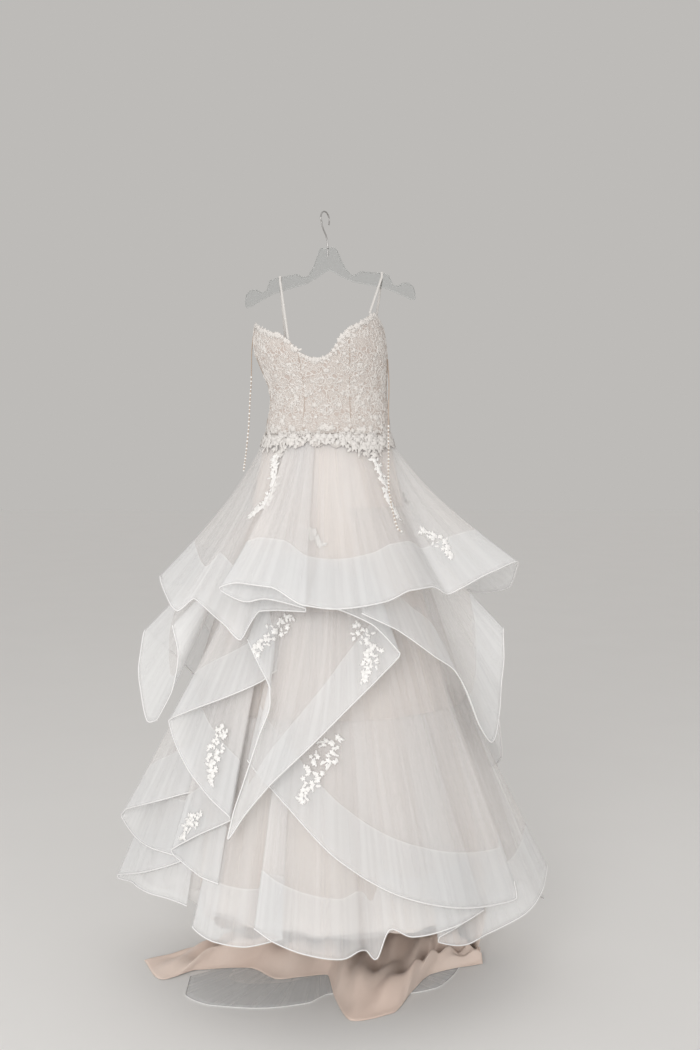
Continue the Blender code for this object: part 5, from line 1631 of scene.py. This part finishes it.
@dataclass
class SkirtLace:
    """White lace sprigs on the flounces, and the lace that runs over the waist.

    Attributes:
        drops: how far the waist's lace hangs down at each angle.
        spacing: from one step along a sprig's spine to the next.
        scatter: how far a shape strays up or down from its step.
        skirt_radius: the radius that turns metres across a sprig into degrees.
        smallest: the smallest leaf or flower, and larger is how much larger they get.
        flatness: how thick a leaf or flower is for its size.
        waist_step: degrees from one strand of the waist's lace to the next.
        waist_rows: from one row of a strand to the next.
        waist_flowers: the share of rows that carry a flower.
        edge_wall: how thick the lace's lower edge is.
    """

    sprigs: tuple[Sprig, ...] = (
        Sprig("high_right", "tier_one",
              ((39.5, -0.600), (41.8, -0.654), (40.6, -0.701), (42, -0.743)), 0.034,
              "sprig_high_right"),
        Sprig("wing_right", "tier_one",
              ((55, -0.775), (60, -0.800), (60, -0.838)), 0.034, "sprig_wing_right"),
        Sprig("high_left", "tier_one",
              ((-46, -0.600), (-40, -0.659), (-40.4, -0.701), (-50, -0.745)), 0.036),
        Sprig("inner", "net_underskirt", ((-15, -0.765), (-9, -0.785), (-3, -0.805)), 0.050),
        Sprig("left", "front_flounce",
              ((-18, -0.968), (-22, -1.008), (-26.5, -1.030), (-26, -1.062)), 0.050, "sprig_left"),
        Sprig("middle", "front_flounce",
              ((13.5, -0.984), (15.6, -1.016), (17.5, -1.046), (12.6, -1.104)), 0.046,
              "sprig_middle"),
        Sprig("low", "right_flounce",
              ((2.2, -1.231), (-1.2, -1.277), (-5, -1.324), (-7, -1.370)), 0.060, "sprig_low"),
        Sprig("side", "left_flounce",
              ((-37, -1.214), (-38, -1.249), (-37.5, -1.291), (-36.4, -1.339)), 0.036),
        Sprig("side_low", "left_flounce", ((-41, -1.417), (-44, -1.456), (-45.4, -1.481)), 0.030),
        Sprig("back", "tier_one",
              ((170, -0.640), (176, -0.690), (172, -0.740), (178, -0.790)), 0.050),
        Sprig("back_right", "tier_one", ((118, -0.620), (124, -0.670), (119, -0.720)), 0.044),
        Sprig("back_left", "tier_one", ((-124, -0.620), (-118, -0.670), (-123, -0.720)), 0.044),
    )
    spacing: float = 0.0040
    scatter: float = 0.008
    skirt_radius: float = 0.25
    smallest: float = 0.0095
    larger: float = 0.0045
    flatness: float = 0.3
    waist_step: float = 1.9
    waist_rows: float = 0.0095
    waist_flowers: float = 0.3
    edge_wall: float = 0.0012
    drops: tuple[Edge, ...] = table(Edge,
        (-180, 0.030), (-150, 0.022), (-120, 0.034), (-90, 0.020), (-72, 0.020), (-62, 0.034),
        (-52, 0.026), (-44, 0.058), (-34, 0.030), (-22, 0.020), (-8, 0.016), (8, 0.018),
        (20, 0.030), (28, 0.052), (36, 0.046), (43, 0.062), (52, 0.030), (70, 0.022), (90, 0.020),
        (120, 0.034), (150, 0.022), (180, 0.030),
    )

    def __post_init__(self) -> None:
        """Starts with no cloth looked at, and fixed random turns."""
        self.trees: dict[str, BVHTree] = {}
        self.chance = np.random.default_rng(SEED)

    def lay(self, cloth: str, angle: float, height: float, way: float, size: float,
            lift: float = 0.0009) -> Spot | None:
        """Lays one shape on a cloth from outside, turned this way from the level."""
        if cloth not in self.trees:
            graph = bpy.context.evaluated_depsgraph_get()
            self.trees[cloth] = BVHTree.FromObject(bpy.data.objects[cloth], graph)
        turn = math.radians(angle)
        inward = Vector((-math.sin(turn), math.cos(turn), 0.0))
        start = Vector(SKIRT.spot(angle, height, 0.0)) - inward * 0.5
        place, normal, _, _ = self.trees[cloth].ray_cast(start, inward)
        if place is None:
            return None
        normal = -normal if normal.dot(inward) > 0 else normal
        level = math.cos(way)
        along = Vector((math.cos(turn) * level, math.sin(turn) * level, math.sin(way)))
        return Spot(place + normal * lift, normal, along, (size, size, size * self.flatness))

    def cluster(self, sprig: Sprig) -> tuple[list[Spot | None], list[Spot | None]]:
        """Lays a sprig's leaves and flowers along its spine."""
        fine = np.linspace(0, len(sprig.spine) - 1, 40)
        path = smooth_rows(sprig.spine, fine)
        across = np.radians(path[:, :1]) * self.skirt_radius
        run = run_along(np.hstack([across, path[:, 1:]]))
        leaves, blooms = [], []
        for step in np.arange(0, run[-1], self.spacing):
            angle, height = (np.interp(step, run, path[:, k]) for k in (0, 1))
            fat = sprig.wide * (0.15 + 0.60 * math.sin(math.pi * min(0.15 + step / run[-1], 1.0)))
            for into, chosen in ((leaves, 1.0), (leaves, 0.6), (blooms, 0.75)):
                if self.chance.random() < chosen:
                    across, down = (self.chance.random(2) - 0.5) * (fat, self.scatter)
                    beside = angle + math.degrees(across / self.skirt_radius)
                    way = FULL_TURN * self.chance.random()
                    size = self.smallest + self.larger * self.chance.random()
                    into.append(self.lay(sprig.cloth, beside, height + down, way, size))
        return leaves, blooms

    def build(self) -> None:
        """Makes the sprigs, then the leaves and flowers below the waist."""
        leaf, bloom = leaf_shape("sprig_leaf"), flower_shape("sprig_bloom")
        for sprig in self.sprigs:
            leaves, blooms = self.cluster(sprig)
            laid = SHOP.field(f"sprig_{sprig.name}_leaves", leaves, leaf, MOTIF)
            SHOP.field(f"sprig_{sprig.name}_flowers", blooms, bloom, MOTIF)
            if sprig.node:
                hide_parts(sprig.node)
        leaves, blooms = [], []
        for angle in np.arange(-180, 180, self.waist_step):
            for down in np.arange(0.004, float(edge_at(self.drops, angle)), self.waist_rows):
                beside = angle + 1.6 * self.chance.normal()
                way = -math.pi / 2 + 0.7 * self.chance.normal()
                size = 0.011 + 0.006 * self.chance.random(2)
                lift = 0.0032 if down < 0.034 else 0.0009
                low = WAIST_SEAM - down
                leaves.append(self.lay("tier_one", beside, low, way, size[0], lift))
                if self.chance.random() < self.waist_flowers:
                    blooms.append(self.lay("tier_one", beside + 1.5, low, way, size[1], lift))
        SHOP.field("waist_leaves", leaves, leaf, WAIST_MOTIF)
        SHOP.field("waist_flowers", blooms, bloom, WAIST_MOTIF)
        for shape in (leaf, bloom):
            bpy.data.objects.remove(shape)

    def build_waist(self, tier: Flounce) -> None:
        """Makes the bodice lace's pointed lower edge over the first tier."""
        fine = tier.grid()
        normals = wall_normals(fine, ring=True)
        root = tier.values()[:, 1]
        front = [k for k in range(len(root) - 1) if abs(root[k]) <= 80]
        shares = np.linspace(0, 1, 7)
        lace = []
        for k in (k for k in front if root[k] < root[k + 1:].min()):
            wave = abs(math.sin(math.radians(180 * root[k] / 16)))
            deep = 0.018 + 0.016 * wave
            drop = run_along(fine[k])
            at = np.interp(shares * deep, drop, np.arange(len(drop)))
            first = np.minimum(at.astype(int), len(drop) - 2)
            part = (at - first)[:, None]
            spots = fine[k, first] * (1 - part) + fine[k, first + 1] * part
            out = normals[k, first]
            facing = np.sign(out[0] @ np.array([fine[k, 0, 0] - BODY_CENTRE_X, fine[k, 0, 1], 0.0]))
            lace.append(spots + facing * out * 0.0019)
        made = SHOP.wall("waist_lace_edge", np.stack(lace), self.edge_wall, TRIM_LACE)
        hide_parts("waist_lace")
        flat, area = cloth_cut(np.stack(lace))


# Bead strings ------------------------------------------------------------------------------


class Route(NamedTuple):
    """A bead string: its side, real length (not used), where its beads start, and its route."""

    side: str
    length: float
    beads_from: float
    points: tuple[Point, ...]


@dataclass
class BeadStrings:
    """Two thin cords that hang loose at the sides, beaded at their ends."""

    diameter: float = 0.003
    bead_radius: float = 0.0034
    apart: float = 0.0100
    routes: tuple[Route, ...] = (
        Route("left", 0.358, 0.28, (
            (-0.1790, 0.0080, -0.3000), (-0.1835, 0.0050, -0.3450), (-0.1840, 0.0000, -0.4100),
            (-0.1870, -0.0080, -0.4600), (-0.1890, -0.0200, -0.5200), (-0.1930, -0.0420, -0.5800),
            (-0.1955, -0.0900, -0.6330),
        )),
        Route("right", 0.470, 0.35, (
            (0.1542, -0.0200, -0.3600), (0.1575, -0.0250, -0.4200), (0.1560, -0.0400, -0.4800),
            (0.1555, -0.0560, -0.5400), (0.1545, -0.0900, -0.6000), (0.1530, -0.1390, -0.6700),
            (0.1620, -0.1880, -0.7300), (0.1720, -0.2120, -0.7650), (0.1800, -0.2160, -0.7700),
        )),
    )

    def build(self) -> None:
        """Makes each cord with its beads."""
        bead = SHOP.ball("bead", self.bead_radius)
        for route in self.routes:
            fine = np.linspace(0, len(route.points) - 1, 33)
            path = smooth_rows(route.points, fine)
            run = run_along(path)
            name = f"bead_cord_{route.side}"
            cord = SHOP.cord(name, self.diameter / 2, BEAD_THREAD, path, sides=8)
            beaded = path[run >= route.beads_from * run[-1]]
            beads = SHOP.row(f"pearls_{route.side}", beaded, bead, self.apart, PEARL)
            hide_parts(f"beads_{route.side}")
            LOG.info("bead string %s: %.3f m", route.side, run[-1])
        bpy.data.objects.remove(bead)


# Studio ------------------------------------------------------------------------------------


class Lamp(NamedTuple):
    """A soft lamp: its place, what it points at, its size and its strength."""

    name: str
    place: Point
    target: Point
    size: float
    watts: float


@dataclass
class Studio:
    """The camera, the floor and the lamps."""

    eye: Point = (0.0615, -2.56, -0.583)
    pitch: float = 4.2
    lens: float = 35.0
    backdrop: Colour = (0.51, 0.497, 0.480)
    glow: Colour = (0.62, 0.608, 0.596)
    floor: Colour = (0.82, 0.81, 0.794)
    lamps: tuple[Lamp, ...] = (
        Lamp("key", (-1.2, -3.8, 0.15), (0.0, 0.0, -1.2), 2.2, 71.0),
        Lamp("fill", (2.2, -3.0, 0.0), (0.0, 0.0, -1.2), 2.0, 6.0),
        Lamp("top", (0.0, -0.8, 2.0), (0.0, 0.0, -1.0), 2.4, 8.0),
    )

    def build_camera(self) -> None:
        """Makes the camera."""
        data = bpy.data.cameras.new("camera")
        data.lens, data.sensor_width, data.sensor_fit = self.lens, 36.0, "AUTO"
        camera = linked("camera", data)
        camera.location = self.eye
        camera.rotation_euler = (math.radians(90 - self.pitch), 0.0, 0.0)
        bpy.context.scene.camera = camera

    def build_floor(self) -> None:
        """Makes the pale floor."""
        half = 20.0
        mesh = SHOP.mesh("floor", np.array([
            (-half, -half, FLOOR), (half, -half, FLOOR), (half, half, FLOOR), (-half, half, FLOOR),
        ]), [(0, 1, 2, 3)])
        made = linked("floor", mesh)
        coat, tree, shader = Finish("pale_floor", Slot.NET, self.floor, rough=0.85).start()
        spots = tree.node("ShaderNodeTexCoord").outputs["Object"]
        grain = tree.node("ShaderNodeTexNoise", {"Vector": spots, "Scale": 3.0, "Detail": 4.0})
        colour = tree.blend(grain.outputs["Fac"], self.floor, tuple(c * 0.97 for c in self.floor))
        tree.feed(shader, {"Base Color": colour})
        mesh.materials.append(coat)

    def build_light(self) -> None:
        """Makes the lamps and the light all round. The front lamps leave the clear plate alone."""
        spared = bpy.data.collections.new("spared_by_front_lamps")
        spared.objects.link(bpy.data.objects["hanger_plate"])
        spared.collection_objects[0].light_linking.link_state = "EXCLUDE"
        for lamp in self.lamps:
            data = bpy.data.lights.new(lamp.name, "AREA")
            data.energy, data.shape, data.size = lamp.watts, "DISK", lamp.size
            made = linked(lamp.name, data)
            made.location = lamp.place
            way = Vector(lamp.target) - Vector(lamp.place)
            made.rotation_euler = way.to_track_quat("-Z", "Y").to_euler()
            made.visible_camera = made.visible_transmission = False
            if lamp.name != "top":
                made.light_linking.receiver_collection = spared
        world = bpy.data.worlds.new("studio")
        world.use_nodes = True
        tree = Tree(world.node_tree)
        light = tree.node("ShaderNodeLightPath").outputs
        seen = tree.sum("MAXIMUM", light["Is Camera Ray"], light["Is Transmission Ray"])
        sky = world.node_tree.nodes["Background"].inputs[0]
        world.node_tree.links.new(tree.blend(seen, self.glow, self.backdrop), sky)
        bpy.context.scene.world = world
        bpy.context.scene.view_settings.view_transform = "Standard"
        cycles = bpy.context.scene.cycles
        cycles.transparent_max_bounces, cycles.diffuse_bounces, cycles.max_bounces = 40, 2, 8


def main() -> None:
    """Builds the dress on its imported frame, piece by piece."""
    logging.basicConfig(level=logging.INFO, format="%(name)s: %(message)s")
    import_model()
    studio = Studio()
    studio.build_camera()
    BeadStrings().build()
    hanger = Hanger()
    hanger.build()
    LOG.info("hanger built")
    Bodice().build(hanger)
    LOG.info("bodice built")
    Lining("satin_lining", ("satin_front", "satin_back_right", "satin_back_left"), SATIN, SATIN_HEM,
           BLUSH_SATIN_PAINTED_LIGHTER, 0.0016).build()
    Lining("net_underskirt", ("net_front", "net_back"), SKIRT, UNDERSKIRT_HEM, UNDER_NET,
           0.0010).build()
    for flounce in FLOUNCES:
        flounce.build()
    Train().build()
    LOG.info("skirt built")
    lace = SkirtLace()
    lace.build()
    lace.build_waist(FLOUNCES[-1])
    LOG.info("lace built")
    studio.build_floor()
    studio.build_light()


if __name__ == "__main__":
    main()
